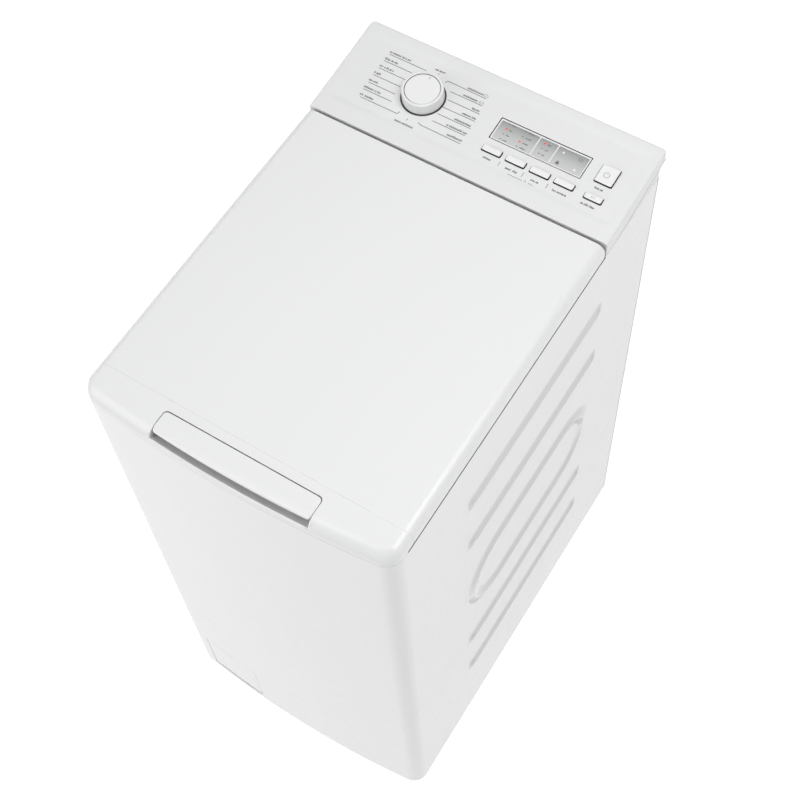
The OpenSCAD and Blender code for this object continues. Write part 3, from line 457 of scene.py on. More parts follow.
def grid(nu, nv, start=0, close_u=False, close_v=False, skip=None):
    out = []
    for i in range(nu if close_u else nu - 1):
        for j in range(nv if close_v else nv - 1):
            if skip and skip(i, j):
                continue
            k, m = (i + 1) % nu, (j + 1) % nv
            out.append((start + i * nv + j, start + k * nv + j, start + k * nv + m, start + i * nv + m))
    return out


def bake(o):
    """Replaces a mesh by what its modifiers make of it."""
    bpy.context.view_layer.update()
    dg = bpy.context.evaluated_depsgraph_get()
    me = bpy.data.meshes.new_from_object(o.evaluated_get(dg))
    o.modifiers.clear()
    o.data = me
    return o


def carve(o, cutter, op="DIFFERENCE"):
    m = o.modifiers.new("carve", "BOOLEAN")
    m.operation = op
    m.solver = "EXACT"
    m.object = cutter
    bake(o)
    bpy.data.objects.remove(cutter)
    return o


def rounded_rect(x0, y0, x1, y1, r, n=6, per=1):
    """Points of a rounded rectangle, anticlockwise, with the same count for any size."""
    pts = []
    corners = [(x1 - r, y0 + r, -90), (x1 - r, y1 - r, 0), (x0 + r, y1 - r, 90), (x0 + r, y0 + r, 180)]
    for i, (cx, cy, a0) in enumerate(corners):
        for k in range(n + 1):
            a = math.radians(a0 + 90 * k / n)
            pts.append((cx + r * math.cos(a), cy + r * math.sin(a)))
        nx, ny, na = corners[(i + 1) % 4]
        ax, ay = pts[-1]
        a = math.radians(na)
        bx, by = nx + r * math.cos(a), ny + r * math.sin(a)
        for k in range(1, per):
            pts.append((ax + (bx - ax) * k / per, ay + (by - ay) * k / per))
    return pts


def loft(rings, cap_low=True, cap_high=True):
    """Faces between closed rings of equal count, with caps."""
    n = len(rings[0])
    verts = [p for ring in rings for p in ring]
    faces = grid(len(rings), n, close_v=True)
    if cap_low:
        faces.append(tuple(range(n)))
    if cap_high:
        faces.append(tuple(range((len(rings) - 1) * n, len(rings) * n))[::-1])
    return verts, faces


def circle(cx, cy, r, n):
    """Points of a circle, anticlockwise."""
    turns = [2 * math.pi * k / n for k in range(n)]
    return [(cx + r * math.cos(a), cy + r * math.sin(a)) for a in turns]


def lathe(profile, n, place):
    """Rings of a revolved profile of (radius, height). place maps local x, y, z to the model."""
    return [[place((x, y, h)) for x, y in circle(0, 0, r, n)] for r, h in profile]


def two_skins(n, m):
    """Faces of a shell: an n by m outer grid of points, an inner one after it, and the rim between them."""
    base = n * m
    rim = [i * m for i in range(n)] + [base - m + j for j in range(1, m)]
    rim += [i * m + m - 1 for i in range(n - 2, -1, -1)] + list(range(m - 2, 0, -1))
    faces = grid(n, m) + [tuple(reversed(f)) for f in grid(n, m, start=base)]
    return faces + [(a, b, b + base, a + base) for a, b in zip(rim, rim[1:] + rim[:1])]


def side_on(y, z, x):
    """Places an outline drawn in y and z, with its thickness along x."""
    return (x, y, z)


def front_on(x, z, y):
    """Places an outline drawn in x and z, with its thickness along y."""
    return (x, y, z)


def from_above(x, y, z):
    """Places an outline drawn in x and y, with its thickness along z."""
    return (x, y, z)


class Batch:
    """Collects many small solids into one mesh."""

    def __init__(self):
        self.verts, self.faces, self.picks = [], [], []

    def add(self, verts, faces, pick=0):
        k = len(self.verts)
        self.verts += verts
        self.faces += [tuple(k + i for i in f) for f in faces]
        self.picks += [pick] * len(faces)

    def prism(self, outline, low, high, place, pick=0):
        n = len(outline)
        verts = [place(x, y, low) for x, y in outline] + [place(x, y, high) for x, y in outline]
        faces = [(i, (i + 1) % n, n + (i + 1) % n, n + i) for i in range(n)]
        faces += [tuple(range(n))[::-1], tuple(range(n, 2 * n))]
        self.add(verts, faces, pick)

    def rod(self, outline, low, high, place):
        n = len(outline)
        verts = [place(x, y, end) for end in (low, high) for x, y in outline]
        self.add(verts, grid(2, n, close_v=True) + [tuple(range(n)), tuple(range(n, 2 * n))])

    def make(self, name, mats, body, **more):
        o = make(name, self.verts, self.faces, None, body, mats=mats, fix=False, **more)
        for p, k in zip(o.data.polygons, self.picks):
            p.material_index = k
        return o


# ------------------------------------------------------------------ cabinet


def plan_path(side_ys, bow_xs, rear_return=0.0, n_fillet=12):
    """Outline from the left rear, along the left side, the bowed front and the right side, with normals."""
    left = []
    if rear_return:
        r = 1.3
        left.append((-HALF + rear_return, BACK, 0.0, 1.0))
        left.append((-HALF + r + 1.0, BACK, 0.0, 1.0))
        for k in range(5):
            a = math.radians(90 + 90 * k / 4)
            left.append((-HALF + r + r * math.cos(a), BACK - r + r * math.sin(a), math.cos(a), math.sin(a)))
    for y in side_ys:
        left.append((-HALF, y, -1.0, 0.0))
    end = math.pi * 1.5 - FILLET_A
    for k in range(n_fillet + 1):
        a = math.pi + (end - math.pi) * k / n_fillet
        left.append((-FILLET_X + FILLET_R * math.cos(a), FILLET_Y + FILLET_R * math.sin(a), math.cos(a),
                     math.sin(a)))
    middle = []
    for x in bow_xs:
        t = math.asin(x / BOW_R)
        middle.append((x, bow_at(x), math.sin(t), -math.cos(t)))
    rightside = [(-x, y, -nx, ny) for x, y, nx, ny in reversed(left)]
    return left + middle + rightside


FLAP_X, FLAP_W = -121.5, 92.2
FLAP_TURN = math.asin(-FLAP_X / BOW_R)
_, flap_high = cad_box("filter_flap")
FLAP_Z0, FLAP_Z1 = 36.0, flap_high[2]


def at_flap(p):
    c, s = math.cos(-FLAP_TURN), math.sin(-FLAP_TURN)
    return (FLAP_X + p[0] * c - p[1] * s, bow_at(FLAP_X) + p[0] * s + p[1] * c, p[2])


def flap_world_x(local):
    return FLAP_X + local * math.cos(FLAP_TURN)


BEAD_W = 26.0
BEAD_Y0, BEAD_Y1 = -145.8, 165.2
LOOP_Z, LEG = 463.5, 63.2
STRAIGHT = (732.5, 624.9, 302.1, 194.5)
CREST = 7.5


def crown(t):
    t = np.clip(t, 0, 1)
    return (1 - t ** 2.1) ** 0.62


def wedge(q, up):
    """Section of a bead: a long slope on its upper side and a steep foot on its lower side.

    q is the distance from the bead's middle and up the share of that direction that points upwards."""
    half = BEAD_W / 2
    crest = -CREST * up
    run = np.where(q > crest, half - crest, half + crest)
    t = np.clip(np.abs(q - crest) / run, 0, 1)
    long_side = np.clip((run - half) / CREST, -1, 1) * 0.5 + 0.5
    gentle = 0.5 + 0.5 * np.cos(np.pi * t ** 0.80)
    beyond = np.clip((np.abs(q - crest) - run) / 11.0, 0, 1)
    steep = 0.12 * (1 - beyond) ** 2 + 0.88 * (1 - t ** 2.2) ** 0.8
    return gentle * long_side + steep * (1 - long_side)


def bead_height(y, z):
    """Height of the pressed beads above the side panel, for arrays of y and z."""
    half = BEAD_W / 2
    h = np.zeros_like(y)
    for z0 in STRAIGHT:
        dy = np.maximum(0, np.maximum(BEAD_Y0 + half - y, y - (BEAD_Y1 - half)))
        q = np.hypot(dy, z - z0)
        h = np.maximum(h, wedge(q, (z - z0) / np.maximum(q, 1e-6)))
    big = half + LEG
    dy = np.maximum(0, np.maximum(BEAD_Y0 + big - y, y - (BEAD_Y1 - big)))
    q = np.hypot(dy, z - LOOP_Z)
    h = np.maximum(h, wedge(q - LEG, (z - LOOP_Z) / np.maximum(q, 1e-6)))
    return BEAD_H * h


def fine_line(low, high, marks, coarse, fine, reach):
    """Coordinates from low to high, close together near the marks."""
    out, x = [low], low
    while x < high - 1e-6:
        near = min(abs(x + fine / 2 - m) for m in marks) < reach
        x = min(high, x + (fine if near else coarse))
        out.append(x)
    return out


def close_at_ends(low, high, steps, gap, count):
    """Coordinates from low to high: the given small steps in from each end, then count even ones between."""
    middle = list(np.linspace(low + gap, high - gap, count))
    return [low + s for s in steps] + middle + [high - s for s in reversed(steps)]


def build_cabinet():
    f0, f1 = flap_world_x(-FLAP_W / 2 - 0.4), flap_world_x(FLAP_W / 2 + 0.4)
    z_flap0, z_flap1 = FLAP_Z0 - 4.8, FLAP_Z1 + 0.4
    win_y, win_z = (-150.0, 170.0), (176.0, 751.0)
    edge_x = BOW_R * math.sin(FILLET_A)
    xs = [x for x in np.linspace(-edge_x, edge_x, 45)[1:-1] if min(abs(x - f0), abs(x - f1)) > 3]
    xs = sorted(xs + [f0, f1])
    path = plan_path([270.0, win_y[1], 0.0, win_y[0], FILLET_Y + 2.0], xs, rear_return=16.0)
    outer_z = [(0.6, TOP), (0.2, TOP - 0.25), (0.0, TOP - 0.8), (0.0, win_z[1]), (0.0, win_z[0])]
    outer_z += [(0.0, z_flap1), (0.0, z_flap0), (0.0, SKIRT + 0.8), (0.2, SKIRT + 0.25), (0.6, SKIRT)]
    inner_z = [(SHEET, SKIRT + 0.6), (SHEET, z_flap0), (SHEET, z_flap1), (SHEET, win_z[0]),
               (SHEET, win_z[1]), (SHEET, TOP - 0.6)]
    profile = outer_z + inner_z
    n, m = len(path), len(profile)
    verts = [(x - nx * d, y - ny * d, z) for x, y, nx, ny in path for d, z in profile]
    iL = next(i for i, p in enumerate(path) if abs(p[0] - f0) < 1e-6)
    iR = next(i for i, p in enumerate(path) if abs(p[0] - f1) < 1e-6)
    o_hi, o_lo, i_lo, i_hi = 5, 6, 11, 12
    side = [i for i, p in enumerate(path)
            if abs(abs(p[0]) - HALF) < 1e-6 and win_y[0] - 1e-6 <= p[1] <= win_y[1] + 1e-6]

    def skip(i, j):
        if iL <= i < iR and j in (o_hi, i_lo):
            return True
        if j == 3 and i in side and i + 1 in side and path[i][0] == path[i + 1][0]:
            return True
        return False

    faces = grid(n, m, close_v=True, skip=skip)
    for i in (iL, iR):
        faces.append((i * m + o_hi, i * m + o_lo, i * m + i_lo, i * m + i_hi))
    for i in range(iL, iR):
        faces.append((i * m + o_hi, i * m + i_hi, (i + 1) * m + i_hi, (i + 1) * m + o_hi))
        faces.append((i * m + o_lo, (i + 1) * m + o_lo, (i + 1) * m + i_lo, i * m + i_lo))
    for i in (0, n - 1):
        faces.append(tuple(i * m + j for j in range(m)))
    wrap = make("cabinet_shell", verts, faces, white_paint, "cabinet", "white_paint", ["cabinet_wrap"],
                sharp=50, fix=False)
    even(wrap)

    # the pressed side panels, one fine patch each side
    marks_z = [z0 - BEAD_W / 2 + 3 for z0 in STRAIGHT + (LOOP_Z - LEG, LOOP_Z + LEG)]
    zs = fine_line(win_z[0], win_z[1], marks_z, 2.2, 0.6, 5.5)
    ys, y = [win_y[0]], win_y[0]
    while y < win_y[1] - 1e-6:
        near = y < BEAD_Y0 + 14 or y > BEAD_Y1 - 14
        ends = y < BEAD_Y0 + 70 or y > BEAD_Y1 - 72
        y = min(win_y[1], y + (1.0 if near else 1.7 if ends else 14.0))
        ys.append(y)
    yy, zz = np.meshgrid(np.array(ys), np.array(zs), indexing="ij")
    hh = bead_height(yy, zz)
    for s, name in ((-1, "side_beads_left"), (1, "side_beads_right")):
        pts = [(s * (HALF + h), y, z) for y, z, h in zip(yy.ravel(), zz.ravel(), hh.ravel())]
        cells = grid(len(ys), len(zs))
        if s > 0:
            cells = [tuple(reversed(c)) for c in cells]
        make(name, pts, [tuple(reversed(c)) for c in cells], pressed_white_shaded, "cabinet", "white_paint",
             fix=False)

    # return hem along the bottom edge
    hem_path = plan_path([250.0, 0.0], list(np.linspace(-edge_x, edge_x, 31)[1:-1]))
    hem = [(SHEET - 0.4, SKIRT + 0.15), (14.0, SKIRT + 0.15), (14.3, SKIRT + 0.4), (14.3, SKIRT + 6.0),
           (13.3, SKIRT + 6.0), (13.3, SKIRT + 1.2), (SHEET - 0.4, SKIRT + 1.2)]
    verts = [(x - nx * d, y - ny * d, z) for x, y, nx, ny in hem_path for d, z in hem]
    faces = grid(len(hem_path), len(hem), close_v=True)
    faces += [tuple(range(len(hem))), tuple(range(len(verts) - len(hem), len(verts)))]
    make("bottom_hem", verts, faces, white_paint, "cabinet", "white_paint", sharp=40)

    # a thin black strip under the lid's side edges, which draws the dark line there
    b = Batch()
    for s in (-1, 1):
        strip_outline = [(-4.0, -0.05), (0.04, -0.05), (0.05, -0.5), (0.35, -0.4)]
        strip_outline += [(0.40, 1.1), (0.05, 1.2), (0.04, 0.88), (-4.0, 0.88)]
        b.prism([(s * (HALF + x), TOP + z) for x, z in strip_outline], -262.0, 156.0, front_on)
    b.make("lid_side_dark_strip", [black_rubber], "cabinet", slot="black_rubber", sharp=40)

    # the top frame's pale lip just inside the front's upper edge, which closes the gap below the lid
    lip_path = plan_path([-262.5], list(np.linspace(-edge_x, edge_x, 41)[1:-1]))
    lip = [(0.75, TOP - 0.1), (0.75, TOP + 0.7), (1.0, TOP + 0.88), (3.5, TOP + 0.88), (3.5, TOP - 0.1)]
    verts = [(x - nx * d, y - ny * d, z) for x, y, nx, ny in lip_path for d, z in lip]
    faces = grid(len(lip_path), len(lip), close_v=True)
    faces += [tuple(range(len(lip))), tuple(range(len(verts) - len(lip), len(verts)))]
    make("front_lip", verts, faces, white_plastic, "cabinet", "white_plastic", sharp=40)


build_cabinet()


def build_flap():
    """Filter flap: a slightly pillowed panel that follows the bow, on two hinge knuckles."""
    half = FLAP_W / 2
    us = close_at_ends(-half, half, (0.0, 0.25, 0.8, 1.6), 4, 15)
    ws = close_at_ends(FLAP_Z0, FLAP_Z1, (0.0, 0.25, 0.8, 1.6), 4, 12)

    def depth(u, w):
        near = min(u + half, half - u, w - FLAP_Z0, FLAP_Z1 - w)
        roll = 0.9 * (1 - math.sqrt(max(0.0, 1 - max(0.0, 1 - near / 1.4) ** 2)))
        scoop = 0.0
        d = math.hypot(u / 15.0, (w - FLAP_Z1) / 7.0)
        if d < 1:
            scoop = 1.5 * (1 - d * d) ** 2
        return roll + scoop

    def point(u, w, back):
        x, _, _ = at_flap((u, 0, w))
        t = math.asin(x / BOW_R)
        d = depth(u, w) if back == 0 else back
        return (x - math.sin(t) * d, bow_at(x) + math.cos(t) * d, w)

    def behind(u, w, d):
        x = at_flap((u, 0, w))[0]
        return (x, bow_at(x) + d, w)

    verts = [point(u, w, 0) for u in us for w in ws] + [point(u, w, 2.4) for u in us for w in ws]
    faces = two_skins(len(us), len(ws))
    make("flap_panel", verts, faces, white_plastic, "filter_flap", "white_plastic", ["filter_flap"],
         sharp=60)
    b = Batch()
    for side in (-1, 1):
        for x0, x1, r in ((side * (half - 14), side * (half - 0.5), 3.4),
                          (side * (half - 0.6), side * (half + 2.8), 1.0)):
            b.rod(circle(4.2, FLAP_Z0, r, 24), x0, x1, lambda y, z, x: at_flap((x, y, z)))
    for k in range(5):
        w = FLAP_Z0 + 14 + 18 * k
        outline = [(-38, w), (38, w), (38, w + 1.4), (-38, w + 1.4)]
        b.prism(outline, 2.3, 4.4, behind)
    b.make("flap_knuckles", [white_plastic], "filter_flap", slot="white_plastic", sharp=40)


build_flap()

# ------------------------------------------------------------------ lid

HINGE_Y, HINGE_Z = 151.0, 856.0
GRIP_PIN_Y, GRIP_PIN_Z = -267.5, 857.0


def build_lid_panel():
    """Top panel: rounded along both sides, a small nose along its rear edge, turned in at the seam."""
    def profile(inset):
        w, top = HALF - inset, LID_TOP - inset
        r = max(0.3, EDGE_R - inset)
        pts = [(-w, LID_LOW + inset * 0.5)]
        for k in range(15):
            a = math.pi - (math.pi / 2) * k / 14
            pts.append((-w + r + r * math.cos(a), top - r + r * math.sin(a)))
        for k in range(1, 24):
            pts.append((-(w - r) + 2 * (w - r) * k / 24, top))
        for k in range(15):
            a = math.pi / 2 - (math.pi / 2) * k / 14
            pts.append((w - r + r * math.cos(a), top - r + r * math.sin(a)))
        pts.append((w, LID_LOW + inset * 0.5))
        return pts

    y0, y1 = STRIP_Y + 0.2, LID_REAR
    sections = [(y0 + 0.02, 0.5), (y0 + 0.10, 0.28), (y0 + 0.28, 0.10), (y0 + 0.5, 0.0)]
    sections += [(y, 0.0) for y in np.linspace(y0 + 4, y1 - 6, 28)]
    sections += [(y1 - 2 + 2 * math.sin(a), 2 * (1 - math.cos(a))) for a in np.linspace(0, math.pi / 2, 7)]
    rings = []
    for y, inset in sections:
        rings.append([(x, y, z) for x, z in profile(inset)])
    inner = [[(x, y, z) for x, z in profile(SKIN)] for y in (y1 - 0.6, y1 - 8, 0.0, y0 + 8, y0 + 0.9)]
    n = len(rings[0])
    rings += inner
    verts = [p for r in rings for p in r]
    faces = grid(len(rings), n)
    k = (len(rings) - 1) * n
    for j in range(n - 1):
        faces.append((j, j + 1, k + j + 1, k + j))
    for j in (0, n - 1):
        faces.append(tuple(i * n + j for i in range(len(rings))))
    lid = make("lid_top", verts, faces, white_plastic, "lid", "white_plastic", ["lid_panel"], sharp=55)
    even(lid)
    # hinge lugs and the front and rear ribs below the skin
    b = Batch()
    for s in (-1, 1):
        for d in (-5.3, 5.3):
            x = s * 150 + d
            lug = [(HINGE_Y + 3.7 * math.cos(a), HINGE_Z + 3.7 * math.sin(a))
                   for a in np.linspace(math.pi, 2 * math.pi, 13)]
            lug += [(153.2, 860.6), (143.4, 860.6), (143.4, 858.5)]
            b.rod(lug, x - 1.5, x + 1.5, side_on)
    b.prism([(-187, y0 + 0.9), (187, y0 + 0.9), (187, y0 + 2.4), (-187, y0 + 2.4)], 846.5, 860.5,
            from_above)
    b.prism([(-187, y1 - 1.9), (187, y1 - 1.9), (187, y1 - 0.7), (-187, y1 - 0.7)], 858.2, 860.4,
            from_above)
    b.make("lid_ribs", [white_plastic], "lid", slot="white_plastic", sharp=40, smooth=True)
    # tongue that closes the seam to the front edge a little below the surface
    outline = profile(0.42) + profile(1.9)[::-1]
    m = len(outline)
    verts = [(x, y, z) for y in (y0 - 0.55, y0 + 0.15) for x, z in outline]
    half_m = m // 2
    faces = [(i, (i + 1) % m, m + (i + 1) % m, m + i) for i in range(m)]
    for k in (0, m):
        faces += [(k + i, k + i + 1, k + m - 2 - i, k + m - 1 - i) for i in range(half_m - 1)]
    make("seam_tongue", verts, faces, white_plastic, "lid", "white_plastic", sharp=40)


build_lid_panel()


def edge_radius(ny):
    """Radius of the rolled top edge: wide along the front, narrower along the sides."""
    t = min(1.0, max(0.0, -ny / 0.985))
    t = t * t * (3 - 2 * t)
    return EDGE_R + (ROLL - EDGE_R) * t


def strip_surface(path, seam, inset, n_roll=16, n_top=5, low=LID_LOW):
    """Rows of the lid's rolled front edge for each point of the outline."""
    cols = []
    for x, y, nx, ny in path:
        r0 = edge_radius(ny)
        r = r0 - inset
        cx, cy = x - nx * r0, y - ny * r0
        col = [(x - nx * inset, y - ny * inset, low)]
        col.append((x - nx * inset, y - ny * inset, LID_TOP - r0 - 0.5))
        for k in range(n_roll + 1):
            a = (math.pi / 2) * k / n_roll
            col.append((cx + nx * r * math.cos(a), cy + ny * r * math.cos(a), LID_TOP - r0
                        + r * math.sin(a)))
        tx = max(-HALF + EDGE_R, min(HALF - EDGE_R, cx * 1.045))
        for k in range(1, n_top + 1):
            f = k / n_top
            col.append((cx + (tx - cx) * f, cy + (seam - cy) * f, LID_TOP - inset))
        cols.append(col)
    return cols


def build_strip():
    seam = STRIP_Y - 0.2
    edge_x = BOW_R * math.sin(FILLET_A)
    path = plan_path([seam, (seam + FILLET_Y) / 2], list(np.linspace(-edge_x, edge_x, 81)[1:-1]),
                     n_fillet=16)
    outer = strip_surface(path, seam, 0.0)
    inner = strip_surface(path, seam - 0.6, SKIN)
    verts = [p for c in outer + inner for p in c]
    faces = two_skins(len(path), len(outer[0]))
    strip = make("lid_front_edge", verts, faces, white_plastic, "lid", "white_plastic",
                 ["lid_front_strip"], smooth=False)
    # the handle's slot
    low_z, rear = 848.5, handle_high[1] + 1.2
    half = handle_high[0] - 2.6 + 1.0
    ring = rounded_rect(-half, -330, half, rear, 5.5, n=8)
    rings = [[(x, y, z) for x, y in ring] for z in (low_z + 2.0, 900.0)]
    bottom = []
    for k in range(5):
        a = (math.pi / 2) * k / 4
        d = 2.0 * (1 - math.sin(a))
        bottom.append([(x, y, low_z + 2.0 - 2.0 * math.cos(a)) for x,
                       y in rounded_rect(-half + d, -330, half - d, rear - d, 5.5 - d, n=8)])
    v, f = loft(bottom + rings[1:])
    carve(strip, make("slot_cutter", v, f, white_plastic, None, smooth=False))
    strip.data.shade_smooth()
    strip.data.set_sharp_from_angle(angle=math.radians(40))
    soften(strip, 0.35, angle=40)

    # finger recess under the handle: a smooth trough that closes the slot from behind, in the darker recess
    # moulding as painted shade
    prof = [(1.6, 848.2), (2.6, 846.2), (4.2, 844.7), (8.0, 843.4), (16.0, 842.9), (24.0, 843.3),
            (30.0, 844.7), (34.0, 847.0), (36.2, 850.0), (37.2, 854.5), (37.5, 859.3)]
    xs = [-half - 1.0] + list(np.linspace(-half, half, 33)) + [half + 1.0]
    verts, faces = [], []
    for x in xs:
        squeeze = min(1.0, max(0.0, (half + 1.0 - abs(x)) / 5.0)) ** 0.5
        for d, z in prof:
            depth = min(d, rear - bow_at(x) + 0.8)
            verts.append((x, bow_at(x) + depth, z + (1 - squeeze) * 0.9))
    for x in xs:
        for d, z in prof:
            depth = min(d, rear - bow_at(x) + 0.8)
            verts.append((x, bow_at(x) + depth + 0.9, z - 0.9))
    m = len(prof)
    base = len(xs) * m
    faces = grid(len(xs), m) + [tuple(reversed(f)) for f in grid(len(xs), m, start=base)]
    for i in range(len(xs) - 1):
        faces.append((i * m, (i + 1) * m, base + (i + 1) * m, base + i * m))
        faces.append((i * m + m - 1, base + i * m + m - 1, base + (i + 1) * m + m - 1, (i + 1) * m + m - 1))
    for i in (0, len(xs) - 1):
        for j in range(m - 1):
            faces.append((i * m + j, i * m + j + 1, base + i * m + j + 1, base + i * m + j))
    make("finger_recess", verts, faces, recess_shaded_plastic, "lid", "grey_plastic", sharp=60)
    b = Batch()
    for s in (-1, 1):
        cheek = [(bow_at(half) + 3.0, 845.0), (bow_at(half) + 3.0, 856.0), (bow_at(half) + 8, 859.3),
                 (rear + 0.5, 859.3), (rear + 0.5, 845.0)]
        pts = [(s * (half + 0.6), y, z) for y, z in cheek] + [(s * (half + 1.8), y, z) for y, z in cheek]
        b.add(pts, [(0, 1, 2, 3, 4), (9, 8, 7, 6, 5)]
              + [(i, (i + 1) % 5, 5 + (i + 1) % 5, 5 + i) for i in range(5)])
    tongue = [(-14, 812.8), (-13.2, 812), (13.2, 812), (14, 812.8), (14, 844), (-14, 844)]
    b.prism(tongue, -263.0, -261.0, front_on)
    for x in (-9, 9):
        b.prism([(x - 0.8, 818), (x + 0.8, 818), (x + 0.8, 843.5), (x - 0.8, 843.5)], -261.2, -259.8,
                front_on)
    b.make("latch_tongue", [white_plastic], "lid", slot="white_plastic", sharp=35)


build_strip()


def build_handle():
    """The lift handle: flush with the rolled edge, with a bead along its lip."""
    half = handle_high[0] - 2.6
    rear0 = handle_high[1]
    lip0 = 857.8
    r0 = ROLL
    us = close_at_ends(-half, half, (0.0, 0.15, 0.5, 1.1, 2.0, 3.2, 4.6), 8, 45)
    corner = 4.8
    columns = []
    for u in us:
        over = max(0.0, abs(u) - (half - corner))
        rear = rear0 - (corner - math.sqrt(max(0.0, corner ** 2 - over ** 2)))
        over2 = max(0.0, abs(u) - (half - 3.2))
        lip = lip0 + (3.2 - math.sqrt(max(0.0, 3.2 ** 2 - over2 ** 2)))
        y0 = bow_at(u)
        edge = min(1.0, (half - abs(u)) / 1.2)
        drop = 0.55 * (1 - math.sqrt(max(0.0, 1 - (1 - edge) ** 2)))
        lipa = math.asin((lip - (LID_TOP - r0)) / r0)
        col = []
        # rear edge, rolled down
        for k in range(4):
            a = (math.pi / 2) * k / 4
            col.append((rear - 0.6 + 0.6 * math.cos(a), 0.6 * (1 - math.sin(a))))
        ys = list(np.linspace(rear - 0.6, y0 + r0, 9))
        for y in ys:
            col.append((y, 0.0))
        pts = [(u, y, LID_TOP - d - drop) for y, d in col]
        arcs = list(np.linspace(math.pi / 2, lipa + 0.10, 16))[1:]
        for a in arcs:
            # a raised bead just behind the lip
            k = (a - lipa) / 0.34
            swell = 0.35 * math.sin(math.pi * max(0.0, k)) if k < 1 else 0.0
            rr = r0 - drop + swell
            pts.append((u, y0 + r0 - rr * math.cos(a), LID_TOP - r0 + rr * math.sin(a)))
        # lip: a round nose of 1.3 mm and the under side
        nose = 1.3
        ca, sa = math.cos(lipa + 0.09), math.sin(lipa + 0.09)
        cxn, czn = y0 + r0 - (r0 - nose) * ca, LID_TOP - r0 + (r0 - nose) * sa
        for k in range(1, 8):
            a = math.pi - (lipa + 0.09) + math.pi * k / 8
            pts.append((u, cxn + nose * math.cos(a), czn + nose * math.sin(a)))
        for a in np.linspace(lipa + 0.16, math.pi / 2, 9):
            rr = r0 - 2 * nose
            pts.append((u, y0 + r0 - rr * math.cos(a), LID_TOP - r0 + rr * math.sin(a)))
        for y in reversed(ys[:-1]):
            pts.append((u, y - 0.2, LID_TOP - 2 * nose))
        columns.append(pts)
    n, m = len(us), len(columns[0])
    verts = [p for c in columns for p in c]
    faces = grid(n, m, close_v=True)
    for i in (0, n - 1):
        faces.append(tuple(i * m + j for j in range(m)))
    handle = make("handle_cover", verts, faces, white_plastic, "lid_handle", "white_plastic",
                  ["lid_handle"], sharp=50)
    even(handle)
    b = Batch()
    for x0, x1, r in ((-half + 3, half - 3, 2.6), (-half - 2.4, half + 2.4, 1.5)):
        b.rod(circle(GRIP_PIN_Y, GRIP_PIN_Z, r, 24), x0, x1, side_on)
    for x in (-60, -20, 20, 60):
        front = bow_at(x) + 12.0
        prof = [(front, 857.4), (front + 2, 859.2), (-268, 859.2), (-268, 856), (front + 8, 856)]
        pts = [(x - 0.9, y, z) for y, z in prof] + [(x + 0.9, y, z) for y, z in prof]
        b.add(pts, [(0, 1, 2, 3, 4), (9, 8, 7, 6, 5)]
              + [(i, (i + 1) % 5, 5 + (i + 1) % 5, 5 + i) for i in range(5)])
    b.make("handle_ribs", [white_plastic], "lid_handle", slot="white_plastic", sharp=40)


build_handle()

# ------------------------------------------------------------------ console

option_nodes = ["temperature_button", "spin_button", "rinse_button", "delay_button"]
OPTION_X = [23.9, 55.6, 87.3, 118.9]
OPTION_V = 46.8
BUTTONS = [(n, x, OPTION_V, 24.4, 8.0) for n, x in zip(option_nodes, OPTION_X)]
BUTTONS += [("power_button", 156.7, 79.5, 22.0, 25.0), ("start_button", 156.8, 45.8, 22.0, 8.0)]
KNOB = (-86.0, 74.3)
DISPLAY = (10.5, 61.3, 120.5, 32.0)
SUNK = -1.0
JOINTS = [((160.0, 840.5), (190.0, 840.5), 0.7), ((190.0, 840.5), (299.0, 860.4), 0.7)]


def low_line(y):
    return 840.2 + max(0.0, y - 190.0) * (20.2 / 110.5)


